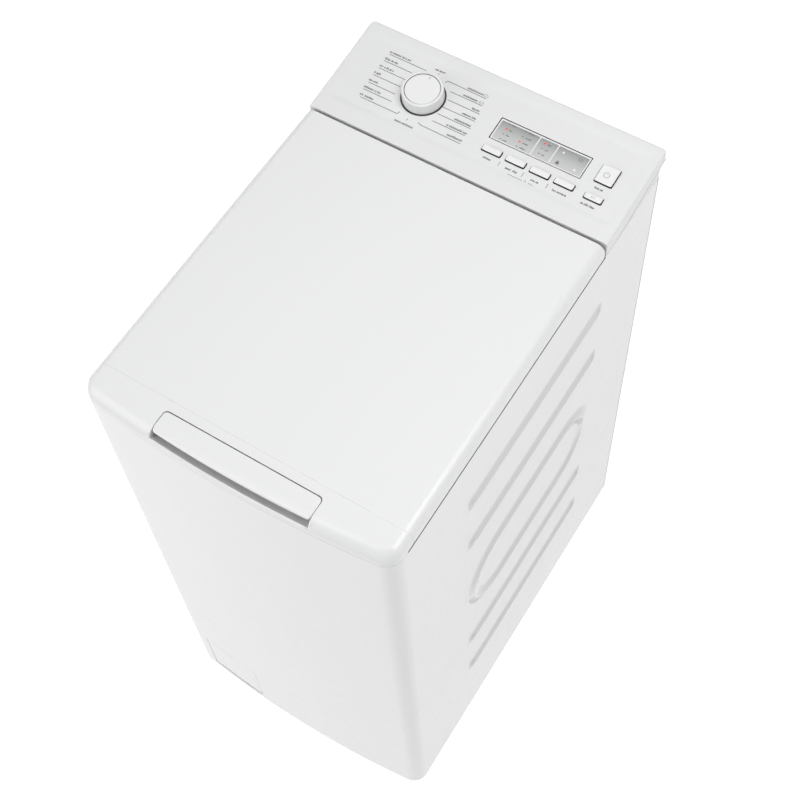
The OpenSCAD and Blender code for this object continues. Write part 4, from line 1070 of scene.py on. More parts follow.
def build_fascia():
    """Console cover: a rounded rim, a shallow recess with a soft border, and the cut-outs."""
    rear_v = (fascia_high[1] - FAS_Y) / CT
    roll = 3.0
    n, per = 8, 26

    def ring(d, h):
        r_f, r_r = 1.2, 6.0
        x0, x1, v0, v1 = -HALF + d, HALF - d, d * 0.35, rear_v - d
        pts = []
        for cx, cv, r, a0 in ((x1, v0, r_f, -90), (x1, v1, r_r, 0), (x0, v1, r_r, 90), (x0, v0, r_f, 180)):
            r = max(0.25, r - d)
            sx = cx - math.copysign(r, cx)
            sv = cv + r if cv < 50 else cv - r
            for k in range(n + 1):
                a = math.radians(a0 + 90 * k / n)
                pts.append((sx + r * math.cos(a), sv + r * math.sin(a)))
        out = []
        for i in range(4):
            out += pts[i * (n + 1):(i + 1) * (n + 1)]
            ax, av = pts[i * (n + 1) + n]
            bx, bv = pts[((i + 1) * (n + 1)) % len(pts)]
            for k in range(1, per):
                out.append((ax + (bx - ax) * k / per, av + (bv - av) * k / per))
        return [(x, v, h) for x, v in out]

    rings = []
    outer = ring(0.0, -roll)
    world = [on_fascia(*p) for p in outer]
    wall = [(x, y, low_line(y)) for x, y, z in world]
    lip = [(x * (1 - 2.5 / HALF), y + (2.5 if y < 200 else -2.5), low_line(y)) for x, y, z in world]
    inside = [(x, y, low_line(y) + 10) for x, y, z in lip]
    rings += [inside, lip, wall, [(x, y, low_line(y) + 0.6) for x, y, z in world]]
    rings.append([(x, y, z - 0.8) for x, y, z in world])
    for k in range(7):
        a = (math.pi / 2) * k / 6
        rings.append([on_fascia(*p) for p in ring(roll * (1 - math.cos(a)), -roll * (1 - math.sin(a)))])
    rings.append([on_fascia(*p) for p in ring(roll + 1.2, 0.0)])

    def border(d, h):
        """Edge of the recess. It starts at the same corner as ring(), so the two match point by point."""
        return [(x, v, h) for x, v in rounded_rect(-188 + d, 23 + d, 190 - d, 128 - d, 10 - d, n=n,
                                                   per=per)]

    for d, h in ((-4.0, 0.0), (-2.4, -0.06), (-0.8, -0.22), (1.0, -0.50), (2.8, -0.78), (4.4, -0.94),
                 (6.0, SUNK)):
        rings.append([on_fascia(*p) for p in border(d, h)])
    count = len(rings[0])
    verts = [p for r in rings for p in r]
    faces = grid(len(rings), count, close_v=True)
    start = (len(rings) - 1) * count
    flat_outer = [(x, v) for x, v, h in border(6.0, SUNK)]

    holes = []
    dx, dv, dw, dh = DISPLAY
    holes.append((rounded_rect(dx, dv, dx + dw, dv + dh, 0.8, n=4), 0.3, 2.6))
    for _, bx, bv, bw, bh in BUTTONS:
        holes.append((rounded_rect(bx - bw / 2 - 0.85, bv - bh / 2 - 0.85, bx + bw / 2 + 0.85, bv + bh / 2
                                   + 0.85, 1.9, n=4), 0.2, 4.0))
    holes.append((circle(*KNOB, 22.0, 64), 0.3, 1.0))
    loops = [[Vector((x, v, 0)) for x, v in flat_outer]] + [[Vector((x, v, 0)) for x, v in h[0]]
            for h in holes]
    flat_index = [start + k for k in range(count)]
    hole_starts = []
    for outline, soft, deep in holes:
        hole_starts.append(len(verts))
        verts += [on_fascia(x, v, SUNK) for x, v in outline]
        flat_index += list(range(hole_starts[-1], len(verts)))
    for tri in tessellate_polygon(loops):
        faces.append(tuple(flat_index[k] for k in tri))
    walls_from = len(faces)
    for (outline, soft, deep), at in zip(holes, hole_starts):
        c = (sum(p[0] for p in outline) / len(outline), sum(p[1] for p in outline) / len(outline))
        m = len(outline)
        prev = at
        xs = [p[0] for p in outline]
        vs = [p[1] for p in outline]
        wx, wv = (max(xs) - min(xs)) / 2, (max(vs) - min(vs)) / 2
        for frac, h in ((0.3, -0.09), (0.7, -0.35), (1.0, -0.8), (1.0, -deep)):
            k = len(verts)
            verts += [on_fascia(c[0] + (x - c[0]) * (1 - soft * frac / wx), c[1]
                                + (v - c[1]) * (1 - soft * frac / wv), SUNK + h * 0.6 if h > -0.9 else SUNK
                                + h) for x, v in outline]
            faces += [(prev + i, prev + (i + 1) % m, k + (i + 1) % m, k + i) for i in range(m)]
            prev = k

    # painted shade: from the soft rim down, each cut-out's wall takes the near-black gap plastic, so it reads
    # as a dark outline
    def pick(p):
        return 0 if p.index < walls_from else 1

    cover = make("console_cover", verts, faces, None, "cabinet", "white_plastic", ["console_fascia"],
                 sharp=38,
                 mats=[console_plastic, gap_dark], pick=pick)
    even(cover)
    # painted shade: dark strips along the joint lines between the cover's side walls and its base, where the
    # gap shades
    b = Batch()
    for s in (-1, 1):
        for (ya, za), (yb, zb), w in JOINTS:
            n = math.hypot(yb - ya, zb - za)
            py, pz = -(zb - za) / n * w / 2, (yb - ya) / n * w / 2
            outline = [(ya - py, za - pz), (yb - py, zb - pz), (yb + py, zb + pz), (ya + py, za + pz)]
            b.prism(outline, s * (HALF - 0.3), s * (HALF + 0.04), side_on)
    b.make("cover_joint_shade", [gap_dark], "cabinet", slot="dark_plastic", smooth=False)


build_fascia()


def build_buttons():
    for name, bx, bv, bw, bh in BUTTONS:
        rings = []
        top = 1.6
        steps = [(0.0, -6.0), (0.0, 0.4), (0.12, 0.9), (0.40, 1.28), (0.85, 1.50), (1.5, 1.58), (2.3, top)]
        for d, h in steps:
            x0, v0, x1, v1 = bx - bw / 2 + d, bv - bh / 2 + d, bx + bw / 2 - d, bv + bh / 2 - d
            rings.append([on_fascia(x, v, h) for x, v in rounded_rect(x0, v0, x1, v1, max(0.3,
                    1.6 - d * 0.5), n=5, per=4)])

        def level(grow, r, h):
            edge = rounded_rect(bx - bw / 2 - grow, bv - bh / 2 - grow, bx + bw / 2 + grow, bv + bh / 2
                                + grow, r, n=5, per=4)
            return [on_fascia(x, v, h) for x, v in edge]

        foot = level(0.0, 1.6, -5.0)
        v, f = loft([level(0.9, 1.0, -6.4), level(0.9, 1.0, -5.0), foot] + rings[1:])
        count = len(foot)
        # painted shade: the cap's skirt, up to 0.9 mm above the recess, takes the near-black gap plastic for
        # the shade in the gap round the button
        o = make(name.replace("_button", "_cap"), v, f, None, name, "white_plastic", [name], sharp=50,
                 mats=[button_plastic, gap_dark], pick=lambda p: 1 if p.index < 4 * count else 0)
        even(o)
        if name == "power_button":
            b = Batch()
            cx, cv = 155.9, 78.9
            first, last, r_in, r_out = 30, 330, 3.0, 4.0
            angles = [math.radians(90 + first + (last - first) * k / 40) for k in range(41)]
            ring = [(cx + r_out * math.cos(a), cv + r_out * math.sin(a)) for a in angles]
            ring += [(cx + r_in * math.cos(a), cv + r_in * math.sin(a)) for a in reversed(angles)]
            m = len(ring)
            verts = [on_fascia(x, v, h) for h in (1.58, 1.66) for x, v in ring]
            faces = [(m + k, m + k + 1, m + m - 2 - k, m + m - 1 - k) for k in range(len(angles) - 1)]
            faces += [(k, (k + 1) % m, m + (k + 1) % m, m + k) for k in range(m)]
            b.add(verts, faces)
            b.prism([(cx - 0.45, cv + 1.2), (cx + 0.45, cv + 1.2), (cx + 0.45, cv + 4.6),
                     (cx - 0.45, cv + 4.6)], 1.58, 1.66, on_fascia)
            b.make("power_mark", [pale_ink], name, smooth=False)
        if name == "start_button":
            b = Batch()
            b.prism([(bx - 2.6, bv - 1.4), (bx - 0.5, bv), (bx - 2.6, bv + 1.4)], 1.58, 1.65, on_fascia)
            for x in (bx + 0.2, bx + 1.4):
                b.prism([(x, bv - 1.4), (x + 0.5, bv - 1.4), (x + 0.5, bv + 1.4), (x, bv + 1.4)], 1.58,
                        1.65, on_fascia)
            b.make("start_mark", [pale_ink], name, smooth=False)


build_buttons()


def build_knob():
    """Programme knob: drum-shaped body with a bright rolled rim and a dished cap inside a fine groove."""
    prof = [(3.0, -0.55), (25.1, -0.55), (25.5, -0.35), (25.6, 0.1), (25.55, 2.0), (25.4, 8.0),
            (25.25, 13.2), (25.05, 14.1), (24.7, 14.65), (24.2, 14.95), (23.6, 15.0), (22.5, 15.0),
            (22.15, 14.92), (21.95, 14.65), (21.75, 14.0), (21.3, 13.95), (21.1, 14.35), (20.75, 14.58),
            (20.0, 14.6), (16.0, 14.55), (10.0, 14.5), (4.0, 14.48), (0.6, 14.48)]

    def place(p):
        return on_fascia(KNOB[0] + p[0], KNOB[1] + p[1], p[2])

    rings = lathe(prof, 144, place)
    v, f = loft(rings)
    # painted shade: the fine groove's outer wall and floor take the near-black gap plastic
    knob = make("knob_body", v, f, None, "program_knob", "knob_plastic", ["program_knob"], sharp=60,
                mats=[knob_top, gap_dark],
                pick=lambda p: 1 if 144 * 13 <= p.index < 144 * 15 else 0)
    even(knob)
    b = Batch()
    # shaft and pointer
    b.add(*loft(lathe([(3.0, -12.4), (3.0, -0.7)], 32, place)))
    b.prism([(KNOB[0] - 0.55, KNOB[1] + 15.6), (KNOB[0] + 0.55, KNOB[1] + 15.6),
             (KNOB[0] + 0.45, KNOB[1] + 19.4), (KNOB[0] - 0.45, KNOB[1] + 19.4)], 14.3, 14.72, on_fascia, 1)
    b.make("knob_pointer", [knob_top, pale_ink], "program_knob", slot="knob_plastic", sharp=50)
    # painted shadow: a dark ring on the panel round the knob's foot, where shade falls between the knob and
    # the panel
    prof = [(22.2, -1.05), (27.6, -1.05), (27.6, -0.98), (27.2, -0.93), (22.2, -0.93)]
    rings = lathe(prof, 120, place)
    v, f = loft(rings, False, False)
    n = len(rings[0])
    f += [(4 * n + k, 4 * n + (k + 1) % n, (k + 1) % n, k) for k in range(n)]
    make("knob_shadow_ring", v, f, gap_dark, "cabinet", "dark_plastic", sharp=40)


build_knob()


def build_display():
    """Window: a pale bevelled frame, three printed fields, lamps, figures and icons."""
    dx, dv, dw, dh = DISPLAY
    # frame: rises from the groove round the window to a flat pale border that slopes to the print
    steps = [(1.15, -3.3), (1.15, -1.2), (1.35, -1.0), (1.7, -0.95), (2.5, -1.2), (2.9, -1.75), (2.9, -2.3)]
    rings = []
    for d, h in steps:
        rings.append([on_fascia(x, v, h) for x, v in rounded_rect(dx + d, dv + d, dx + dw - d, dv + dh - d,
                0.8, n=4, per=10)])
    v, f = loft(rings, False, False)
    make("window_frame", v, f, button_plastic, "cabinet", "white_plastic", sharp=40)
    b = Batch()
    d = 2.7
    outline = rounded_rect(dx + d, dv + d, dx + dw - d, dv + dh - d, 0.6, n=4, per=12)
    rings = [[on_fascia(x, v, h) for x, v in outline] for h in (-3.2, -1.9)]
    b.add(*loft(rings))
    b.make("window_print", [display_print_and_shade], "cabinet", slot="display_grey", stands_for=["display_window"],
           sharp=40)
    marks = Batch()
    top, low = -1.80, -1.92
    for x in (64.2, 88.6):
        marks.prism([(x - 0.65, dv + 2.6), (x + 0.65, dv + 2.6), (x + 0.65, dv + dh - 2.6),
                     (x - 0.65, dv + dh - 2.6)], low, -1.45, on_fascia, 0)

    def dot(x, v, w, t, pick):
        pts = [(x + w * math.cos(a), v + t * math.sin(a)) for a in np.linspace(0, 2 * math.pi, 17)[:-1]]
        marks.prism(pts, low, top, on_fascia, pick)

    def figure(x, v, w):
        """A greeked figure: short strokes that stand for a printed value."""
        k, tall = 0.0, 2.1
        rng = random.Random(int(abs(x * 31 + v * 17)))
        while k < w - 0.5:
            sw = rng.choice((0.42, 0.55, 0.95))
            hh = tall * rng.choice((0.62, 0.8, 1.0))
            foot = v - tall / 2
            stroke = [(x + k, foot), (x + k + sw, foot), (x + k + sw + 0.1, foot + hh),
                      (x + k + 0.1, foot + hh)]
            marks.prism(stroke, low, top, on_fascia, 1)
            k += sw + rng.choice((0.28, 0.4))

    def lamp_column(x, vs, red, widths):
        for v, w in zip(vs, widths):
            lit = abs(v - red) < 0.1
            dot(x, v, 1.7 if lit else 1.25, 1.0 if lit else 0.55, 2 if lit else 1)
            figure(x + 3.6, v - 0.1, w)

    lamp_column(23.2, [89.2, 81.9, 74.3, 66.8], 81.9, [4.6, 4.2, 4.4, 4.6])
    lamp_column(45.0, [89.0, 81.4, 73.8, 66.8], 73.8, [8.4, 8.2, 6.4, 7.4])
    lamp_column(72.4, [85.2, 77.8, 70.2], 85.2, [4.2, 4.4, 4.0])
    # padlock
    lx, lv = 97.2, 69.2
    marks.prism([(lx - 2.1, lv - 2.2), (lx + 2.1, lv - 2.2), (lx + 2.1, lv + 0.9), (lx - 2.1, lv + 0.9)],
                low, top, on_fascia, 1)
    arc = [(lx + 1.5 * math.cos(a), lv + 1.1 + 1.8 * math.sin(a)) for a in np.linspace(0, math.pi, 11)]
    arc2 = [(lx + 0.8 * math.cos(a), lv + 1.1 + 1.1 * math.sin(a)) for a in np.linspace(math.pi, 0, 11)]
    for k in range(10):
        quad = [arc[k], arc[k + 1], arc2[9 - k], arc2[10 - k]]
        marks.prism(quad, low, top, on_fascia, 1)
    # clock ring with two hands
    cx, cv = 119.3, 84.9
    ring_o = [(cx + 2.9 * math.cos(a), cv + 2.4 * math.sin(a)) for a in np.linspace(0, 2 * math.pi, 25)]
    ring_i = [(cx + 2.2 * math.cos(a), cv + 1.8 * math.sin(a)) for a in np.linspace(0, 2 * math.pi, 25)]
    for k in range(24):
        if k in (5, 6):
            continue
        marks.prism([ring_o[k], ring_o[k + 1], ring_i[k + 1], ring_i[k]], low, top, on_fascia, 1)
    marks.prism([(cx - 0.25, cv - 0.2), (cx + 0.25, cv - 0.2), (cx + 0.25, cv + 1.5),
                 (cx - 0.25, cv + 1.5)], low, top, on_fascia, 1)
    # two pale drops, faint in the print
    for ix, iv in ((97.3, 84.4), (119.3, 69.6)):
        pts = [(ix + 1.5 * math.cos(a) * (1 - 0.45 * max(0, math.sin(a))), iv + 1.6 * math.sin(a))
               for a in np.linspace(0, 2 * math.pi, 21)[:-1]]
        marks.prism(pts, low, top, on_fascia, 3)
    marks.make("window_marks", [button_plastic, ink, red_lamp, light_mark], "cabinet", slot="display_grey",
               smooth=False)


build_display()


def build_prints():
    """Programme lines, greeked labels and small dividers, a hair above the recess."""
    b = Batch()
    low, top = SUNK - 0.02, SUNK + 0.035
    rng = random.Random(7)

    def line(x0, v0, x1, v1, w=0.75):
        dx, dv = x1 - x0, v1 - v0
        n = math.hypot(dx, dv)
        px, pv = -dv / n * w / 2, dx / n * w / 2
        b.prism([(x0 - px, v0 - pv), (x1 - px, v1 - pv), (x1 + px, v1 + pv), (x0 + px, v0 + pv)], low, top,
                on_fascia)

    def label(x0, x1, v, tall=3.2):
        """Greeked words: strokes shaped like o, n and l in a random order, which spell nothing."""
        x = x0
        while x < x1 - 0.4:
            if rng.random() < 0.12 and x > x0 + 2:
                x += 0.9
                continue
            kind = rng.choice("aaoonnltt")
            bars = []
            if kind in "ao":
                w, h = 1.15, tall * 0.66
                bars += [((0, 0), (w, 0), (w + 0.12, 0.6), (0.12, 0.6)),
                         ((0.18, h - 0.6), (w + 0.18, h - 0.6), (w + 0.25, h), (0.25, h))]
                bars += [((0, 0), (0.56, 0), (0.78, h), (0.22, h)),
                         ((w - 0.42, 0), (w + 0.12, 0), (w + 0.34, h), (w - 0.2, h))]
                step = w + 0.62
            elif kind == "n":
                h = tall * 0.66
                bars += [((d, 0), (d + 0.56, 0), (d + 0.78, h), (d + 0.22, h)) for d in (0, 0.95)]
                bars += [((0.15, h - 0.56), (1.4, h - 0.56), (1.45, h), (0.2, h))]
                step = 1.95
            else:
                h = tall * (1.0 if kind == "l" else 0.86)
                bars += [((0, 0), (0.6, 0), (0.92, h), (0.32, h))]
                step = 1.05
            for bar in bars:
                b.prism([(x + a, v + c) for a, c in bar], low, top, on_fascia)
            x += step

    d = -1.2
    left = [(-154.6, -102.5, 109.5), (-155.5, -116.0, 98.5), (-155.5, -116.0, 86.5),
            (-155.5, -118.0, 75.0), (-155.5, -118.0, 63.0), (-155.5, -116.0, 52.0)]
    for x0, x1, v in left:
        line(x0, v + d, x1, v + d)
    line(-152.6, 40.5 + d, -101.3, 40.5 + d)
    line(-101.3, 40.5 + d, -99.4, 44.4 + d)
    right_lines = [(-61.5, -18.0, 97.0), (-58.5, -15.0, 85.5), (-58.5, -14.5, 74.0), (-59.0, -14.0, 63.0),
                   (-59.1, -14.6, 51.5)]
    for x0, x1, v in right_lines:
        line(x0, v + d, x1, v + d)
    line(-19.1, 107.8 + d, -72.3, 108.6 + d)
    line(-72.3, 108.6 + d, -73.7, 104.9 + d)
    line(-13.6, 39.3 + d, -68.8, 39.9 + d)
    line(-68.8, 39.9 + d, -72.3, 41.7 + d)
    line(-87.0, 111.2 + d, -86.8, 113.0 + d, 0.6)
    line(-86.3, 37.2 + d, -86.1, 40.6 + d, 0.6)
    for (x0, x1, v) in ((-156, -127.5, 109.9), (-156.3, -138, 99.0), (-156.5, -137, 87.2),
                        (-157.0, -148.5, 75.6), (-157.0, -145.5, 63.8), (-157.0, -133.5, 52.6),
                        (-155.5, -137.5, 41.2)):
        label(x0, x1, v + 0.6)
    for (x0, x1, v) in ((-46, -26, 108.4), (-45.7, -25.7, 97.4), (-27, -16.5, 85.8), (-33.5, -16.0, 74.4),
                        (-37.4, -15.2, 63.2), (-41.6, -14.6, 51.8), (-34.2, -14.0, 40.4)):
        label(x0, x1, v + 0.4)
    for x, v in ((-24.3, 109.0), (-24.1, 98.0)):
        for a, c in (((x, v), (x + 1.0, v + 2.6)), ((x + 1.0, v + 2.6), (x + 5.4, v + 2.6)),
                     ((x + 5.4, v + 2.6), (x + 6.2, v)), ((x + 6.2, v), (x, v))):
            line(a[0], a[1], c[0], c[1], 0.35)
    label(-94.3, -80.5, 114.2)
    label(-99.3, -73.8, 29.4)
    for x in (39.7, 70.8, 102.7):
        line(x, 32.3, x, 38.9, 0.6)
    label(18.6, 27.6, 34.0)
    label(48.3, 55.4, 33.2)
    label(58.2, 63.0, 33.2)
    label(82.2, 91.6, 33.0)
    label(110.2, 128.0, 32.8)
    label(150.5, 161.4, 58.6)
    label(146.2, 165.6, 33.4)
    label(55.0, 74.0, 27.6, tall=1.7)
    line(76.0, 28.4, 77.6, 31.0, 0.3)
    line(77.6, 31.0, 79.2, 28.4, 0.3)
    line(76.0, 28.4, 79.2, 28.4, 0.3)
    label(82.0, 88.6, 27.9, tall=1.4)
    b.make("console_prints", [label_ink], "cabinet", slot="white_plastic", smooth=False)


build_prints()

# ------------------------------------------------------------------ feet and the back


def build_foot(name, body, x, y, nodes):
    """Levelling foot: a ribbed sole, a hexagonal collar and a threaded stem."""
    n = 96
    sole = [(14.2, 0.0), (15.6, 0.25), (16.6, 0.9), (17.0, 1.8), (17.0, 5.2), (16.6, 6.2), (15.4, 6.8),
            (13.0, 7.0)]

    def ribbed(r, h):
        pts = []
        for k in range(n):
            a = 2 * math.pi * k / n
            rr = r - 0.35 + (0.35 * math.cos(24 * a) if 0.5 < h < 6.5 else 0.0)
            pts.append((x + rr * math.cos(a), y + rr * math.sin(a), h))
        return pts

    def hexa(r, h):
        pts = []
        for k in range(48):
            a = 2 * math.pi * k / 48
            rr = 0.9 * r / max(math.cos(a % (math.pi / 3) - math.pi / 6), 0.866)
            pts.append((x + rr * math.cos(a), y + rr * math.sin(a), h))
        return pts

    b = Batch()
    b.add(*loft([ribbed(r, h) for r, h in sole]))
    b.add(*loft([hexa(10.0, 6.8), hexa(10.6, 7.4), hexa(10.6, 14.3), hexa(9.8, 14.9)]))
    stem = []
    h = 14.5
    while h < 41.5:
        stem += [(3.45, h), (3.95, h + 0.35), (3.95, h + 0.6), (3.45, h + 0.95)]
        h += 1.25
    stem.append((3.0, 42.0))
    rings = [[(px, py, hh) for px, py in circle(x, y, r, 32)] for r, hh in stem]
    b.add(*loft(rings), 1)
    b.make(name, [foot_plastic, zinc], body, slot="foot_plastic", stands_for=nodes, sharp=38)


build_foot("foot_sole_front_left", "foot_front_left", -165, -252, ["foot_front_left"])
build_foot("foot_sole_front_right", "foot_front_right", 165, -252, ["foot_front_right"])
build_foot("foot_sole_rear_left", "cabinet", -165, 252, [])
build_foot("foot_sole_rear_right", "cabinet", 165, 252, ["rear_feet"])


def build_rear():
    """Back panel: pressed ribs, vent louvres, and round openings for the connections."""
    y0, y1 = rear_low[1], rear_high[1]
    xs = fine_line(-HALF, HALF, [-150, -30, 30, 150], 9.0, 2.5, 14)
    zs = fine_line(SKIRT, TOP, [200, 300, 420, 540, 640], 9.0, 2.5, 16)
    xx, zz = np.meshgrid(np.array(xs), np.array(zs), indexing="ij")
    h = np.zeros_like(xx)
    for zc in (200.0, 300.0, 420.0, 540.0, 640.0):
        dx = np.maximum(0, np.abs(xx) - 150.0)
        h = np.maximum(h, crown(np.hypot(dx, zz - zc) / 11.0))
    bulge = 2.2 * h
    verts = [(x, y1 + b, z) for x, z, b in zip(xx.ravel(), zz.ravel(), bulge.ravel())]
    verts += [(x, y0 + b, z) for x, z, b in zip(xx.ravel(), zz.ravel(), bulge.ravel())]
    panel = make("back_panel", verts, two_skins(len(xs), len(zs)), rear_paint, "cabinet", "rear_paint",
                 ["rear_panel"], smooth=False)
    cut = Batch()
    for x, z, r in ((150, 790, 15.0), (-166, 67, 12.7), (-150, 790, 9.1)):
        cut.prism(circle(x, z, r, 48), y0 - 4, y1 + 6, front_on)
    for i in range(-4, 5):
        ring = rounded_rect(i * 16 - 3, 700, i * 16 + 3, 760, 2.9, n=6)
        cut.prism(ring, y0 - 4, y1 + 6, front_on)
    cutter = make("rear_cutter", cut.verts, cut.faces, rear_paint, None, smooth=False)
    carve(panel, cutter)
    panel.data.shade_smooth()
    panel.data.set_sharp_from_angle(angle=math.radians(35))
    b = Batch()
    # louvre hoods over each vent, and a round collar at each opening
    for i in range(-4, 5):
        for k in range(8):
            z = 703.5 + 7.2 * k
            prof = [(y1, z + 3.4), (y1 + 2.4, z + 0.4), (y1 + 2.4, z - 0.2), (y1, z + 2.7)]
            pts = [(i * 16 - 2.9, y, zz) for y, zz in prof] + [(i * 16 + 2.9, y, zz) for y, zz in prof]
            b.add(pts, [(0, 1, 2, 3), (7, 6, 5, 4)] + [(j, (j + 1) % 4, 4 + (j + 1) % 4, 4 + j)
                                                       for j in range(4)])
    for x, z, r in ((150, 790, 15.4), (-166, 67, 13.0), (-150, 790, 13.4)):
        prof = [(r, 0.0), (r + 0.2, 0.7), (r + 1.4, 1.1), (r + 2.6, 0.7), (r + 3.0, 0.0)]
        if x == -150:
            prof = [(13.2, 0.0), (13.4, 0.6), (14.4, 0.9), (15.4, 0.6), (15.8, 0.0)]
        rings = [[(px, y1 + hh, pz) for px, pz in circle(x, z, rr, 64)] for rr, hh in prof]
        v, f = loft(rings, False, False)
        b.add(v, f)
    b.make("back_louvres", [rear_paint], "cabinet", slot="rear_paint", sharp=35)


build_rear()

# ------------------------------------------------------------------ inside pieces


def build_springs():
    low, high = cad_box("suspension_springs")
    z0, z1 = low[2], high[2]
    cu = bpy.data.curves.new("tub_springs", "CURVE")
    cu.dimensions = "3D"
    cu.bevel_depth = 1.5 * MM
    cu.bevel_resolution = 4
    for sx in (-1, 1):
        for sy in (-1, 1):
            cx, cy = sx * 176.0, -2.0 + sy * 150.0
            turns, steps = 17, 20
            pts = []
            for k in range(turns * steps + 1):
                f = k / (turns * steps)
                a = 2 * math.pi * turns * f
                r = 8.0
                pts.append((cx + r * math.cos(a), cy + r * math.sin(a), z0 + 9 + (z1 - z0 - 18) * f))
            first = [(cx, cy, z0 + 1.6), (cx + 2, cy, z0 + 5), (cx + 6, cy, z0 + 8)]
            last = [(cx + 6, cy, z1 - 8), (cx + 2, cy, z1 - 5), (cx, cy, z1 - 1.6)]
            pts = first + pts + last
            sp = cu.splines.new("POLY")
            sp.points.add(len(pts) - 1)
            for p, q in zip(sp.points, pts):
                p.co = (q[0] * MM, q[1] * MM, q[2] * MM, 1)
            sp.use_smooth = True
    o = bpy.data.objects.new("tub_springs", cu)
    scene.collection.objects.link(o)
    cu.materials.append(zinc)
    bpy.context.view_layer.update()
    dg = bpy.context.evaluated_depsgraph_get()
    me = bpy.data.meshes.new_from_object(o.evaluated_get(dg))
    bpy.data.objects.remove(o)
    spring = bpy.data.objects.new("tub_springs", me)
    scene.collection.objects.link(spring)
    me.shade_smooth()
    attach(spring, "cabinet")
    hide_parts("suspension_springs")


build_springs()


def build_bellows():
    """Loading gaiter: rounded folds on a square plan with rounded corners."""
    prof = [(131.4, 0.0), (138.6, 0.2), (138.8, 2.4), (137.6, 4.6), (134.0, 5.2), (133.6, 8.0),
            (133.4, 13.0), (132.0, 16.4), (128.6, 18.2), (128.0, 22.0), (128.0, 27.0), (129.2, 30.4),
            (132.8, 32.4), (133.4, 36.0), (133.2, 40.0),
            (131.4, 43.0), (128.6, 45.0), (126.6, 47.2), (125.7, 47.6), (125.8, 44.4), (128.2, 41.6),
            (130.8, 39.4), (131.0, 36.0), (130.0, 33.8), (126.4, 31.6), (125.7, 27.0), (125.7, 22.0),
            (126.4, 17.4), (130.0, 15.0), (131.2, 12.0), (131.3, 5.0)]
    rings = []
    for half, h in prof:
        rings.append([(x, y - 2.0, 770.0 + h) for x,
                      y in rounded_rect(-half, -half, half, half, 9.0, n=8, per=6)])
    v, f = loft(rings, False, False)
    n = len(rings[0])
    k = (len(rings) - 1) * n
    f += [(k + i, k + (i + 1) % n, (i + 1) % n, i) for i in range(n)]
    make("loading_gaiter", v, f, grey_rubber, "cabinet", "grey_rubber", ["bellows"], sharp=70)


build_bellows()

# ------------------------------------------------------------------ finishes of the CAD nodes

finish = {
    "base_tray": dark_plastic, "top_frame": inner_white, "console_base": console_plastic,
    "control_board": board_green,
    "program_switch": dark_plastic, "door_lock": inner_white, "lid_hinge_pins": zinc,
    "detergent_tray": tray_plastic,
    "inlet_valve": inner_white, "pressure_switch": inner_white, "pump_housing": grey_plastic,
    "pump_motor": dark_plastic,
    "sump_hose": black_rubber, "drain_pipe": grey_plastic, "mains_gland": dark_plastic,
    "damper_tubes": dark_plastic,
    "spring_hangers": zinc, "panel_screws": zinc, "tub_left": grey_plastic, "tub_right": grey_plastic,
    "tub_bearings": ground_steel, "shaft_seals": black_rubber, "heater": heater_metal,
    "counterweight_front": concrete,
    "counterweight_rear": concrete, "motor_housing": cast_metal, "drive_belt": black_rubber,
    "damper_rods": zinc,
    "drum_shell": drum_steel, "drum_ends": steel_sheet, "drum_lifters": lifter_plastic,
    "drum_shafts": ground_steel,
    "drum_pulley": cast_metal, "drum_door_pins": zinc, "drum_door_front": drum_steel,
    "drum_door_rear": drum_steel,
    "motor_rotor": ground_steel, "pump_impeller": inner_white, "lid_inner": inner_white,
    "drain_filter": filter_plastic,
}
soft_edges = {"base_tray": 0.5, "top_frame": 0.6, "console_base": 0.5, "door_lock": 0.5,
              "detergent_tray": 0.5, "lid_inner": 0.6,
              "inlet_valve": 0.5, "drain_filter": 0.5, "pump_housing": 0.5, "counterweight_front": 2.0,
              "counterweight_rear": 2.0}
for name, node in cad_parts.items():
    if node.hide_render:
        continue
    mat = finish.get(name, white_plastic)
    node.data.materials.clear()
    node.data.materials.append(mat)
    if name in soft_edges:
        weld = node.modifiers.new("weld", "WELD")
        weld.merge_threshold = 0.00002
        flat = node.modifiers.new("flat", "DECIMATE")
        flat.decimate_type = "DISSOLVE"
        flat.angle_limit = math.radians(1.0)
        soften(node, soft_edges[name], angle=35)

# ------------------------------------------------------------------ floor and light


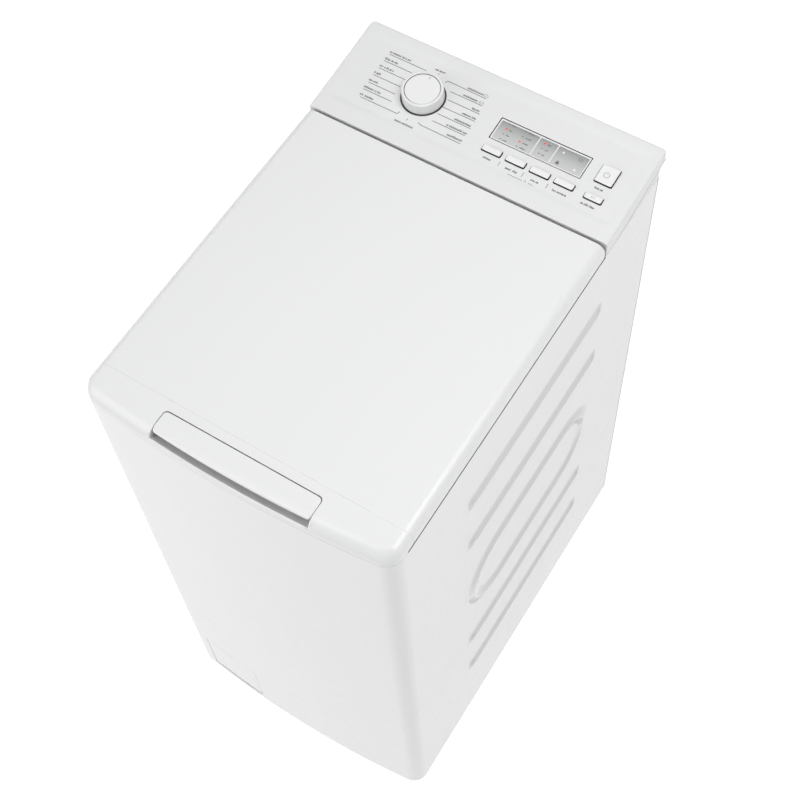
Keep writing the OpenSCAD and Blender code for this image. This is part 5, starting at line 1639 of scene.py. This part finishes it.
def build_stage():
    me = bpy.data.meshes.new("floor")
    me.from_pydata([(-30, -30, 0), (30, -30, 0), (30, 30, 0), (-30, 30, 0)], [], [(0, 1, 2, 3)])
    floor = bpy.data.objects.new("floor", me)
    scene.collection.objects.link(floor)
    m = bpy.data.materials.new("pale_floor")
    m.use_nodes = True
    bsdf = m.node_tree.nodes["Principled BSDF"]
    bsdf.inputs["Base Color"].default_value = (0.22, 0.22, 0.22, 1)
    bsdf.inputs["Roughness"].default_value = 0.9
    bsdf.inputs["Specular IOR Level"].default_value = 0.0
    bsdf.inputs["Emission Color"].default_value = (1, 1, 1, 1)
    bsdf.inputs["Emission Strength"].default_value = 0.96
    me.materials.append(m)

    world = bpy.data.worlds.new("studio")
    scene.world = world
    world.use_nodes = True
    nt = world.node_tree
    nt.nodes.clear()
    out = nt.nodes.new("ShaderNodeOutputWorld")
    bg = nt.nodes.new("ShaderNodeBackground")
    coord = nt.nodes.new("ShaderNodeTexCoord")
    split = nt.nodes.new("ShaderNodeSeparateXYZ")
    nt.links.new(coord.outputs["Generated"], split.inputs[0])
    # an even tent of light, a little brighter on the right
    beside = nt.nodes.new("ShaderNodeMath")
    beside.operation = "MAXIMUM"
    beside.inputs[1].default_value = 0.0
    nt.links.new(split.outputs["X"], beside.inputs[0])
    level = nt.nodes.new("ShaderNodeMath")
    level.operation = "MULTIPLY_ADD"
    level.inputs[1].default_value = 0.09
    level.inputs[2].default_value = 0.215
    nt.links.new(beside.outputs["Value"], level.inputs[0])
    nt.links.new(level.outputs["Value"], bg.inputs["Color"])
    nt.links.new(bg.outputs["Background"], out.inputs["Surface"])

    def softbox(name, at, aim, size, power):
        data = bpy.data.lights.new(name, "AREA")
        data.shape = "RECTANGLE"
        data.size, data.size_y = size
        data.energy = power
        o = bpy.data.objects.new(name, data)
        scene.collection.objects.link(o)
        o.location = at
        o.rotation_euler = (Vector(aim) - Vector(at)).to_track_quat("-Z", "Y").to_euler()

    softbox("top_softbox", (-0.9, 1.0, 3.4), (0, 0, 0.6), (3.0, 3.0), 16.6)
    softbox("front_softbox", (-2.2, -2.6, 1.9), (0, 0, 0.5), (2.4, 2.4), 36)
    softbox("key_softbox", (0.80, 0.05, 2.6), (0, 0, 0.6), (1.35, 1.35), 24.0)
    softbox("strip_softbox", (-0.60, -1.35, 2.50), (0, -0.3, 0.85), (0.7, 1.2), 6.3)


build_stage()
scene.view_settings.view_transform = "Standard"
scene.view_settings.look = "None"
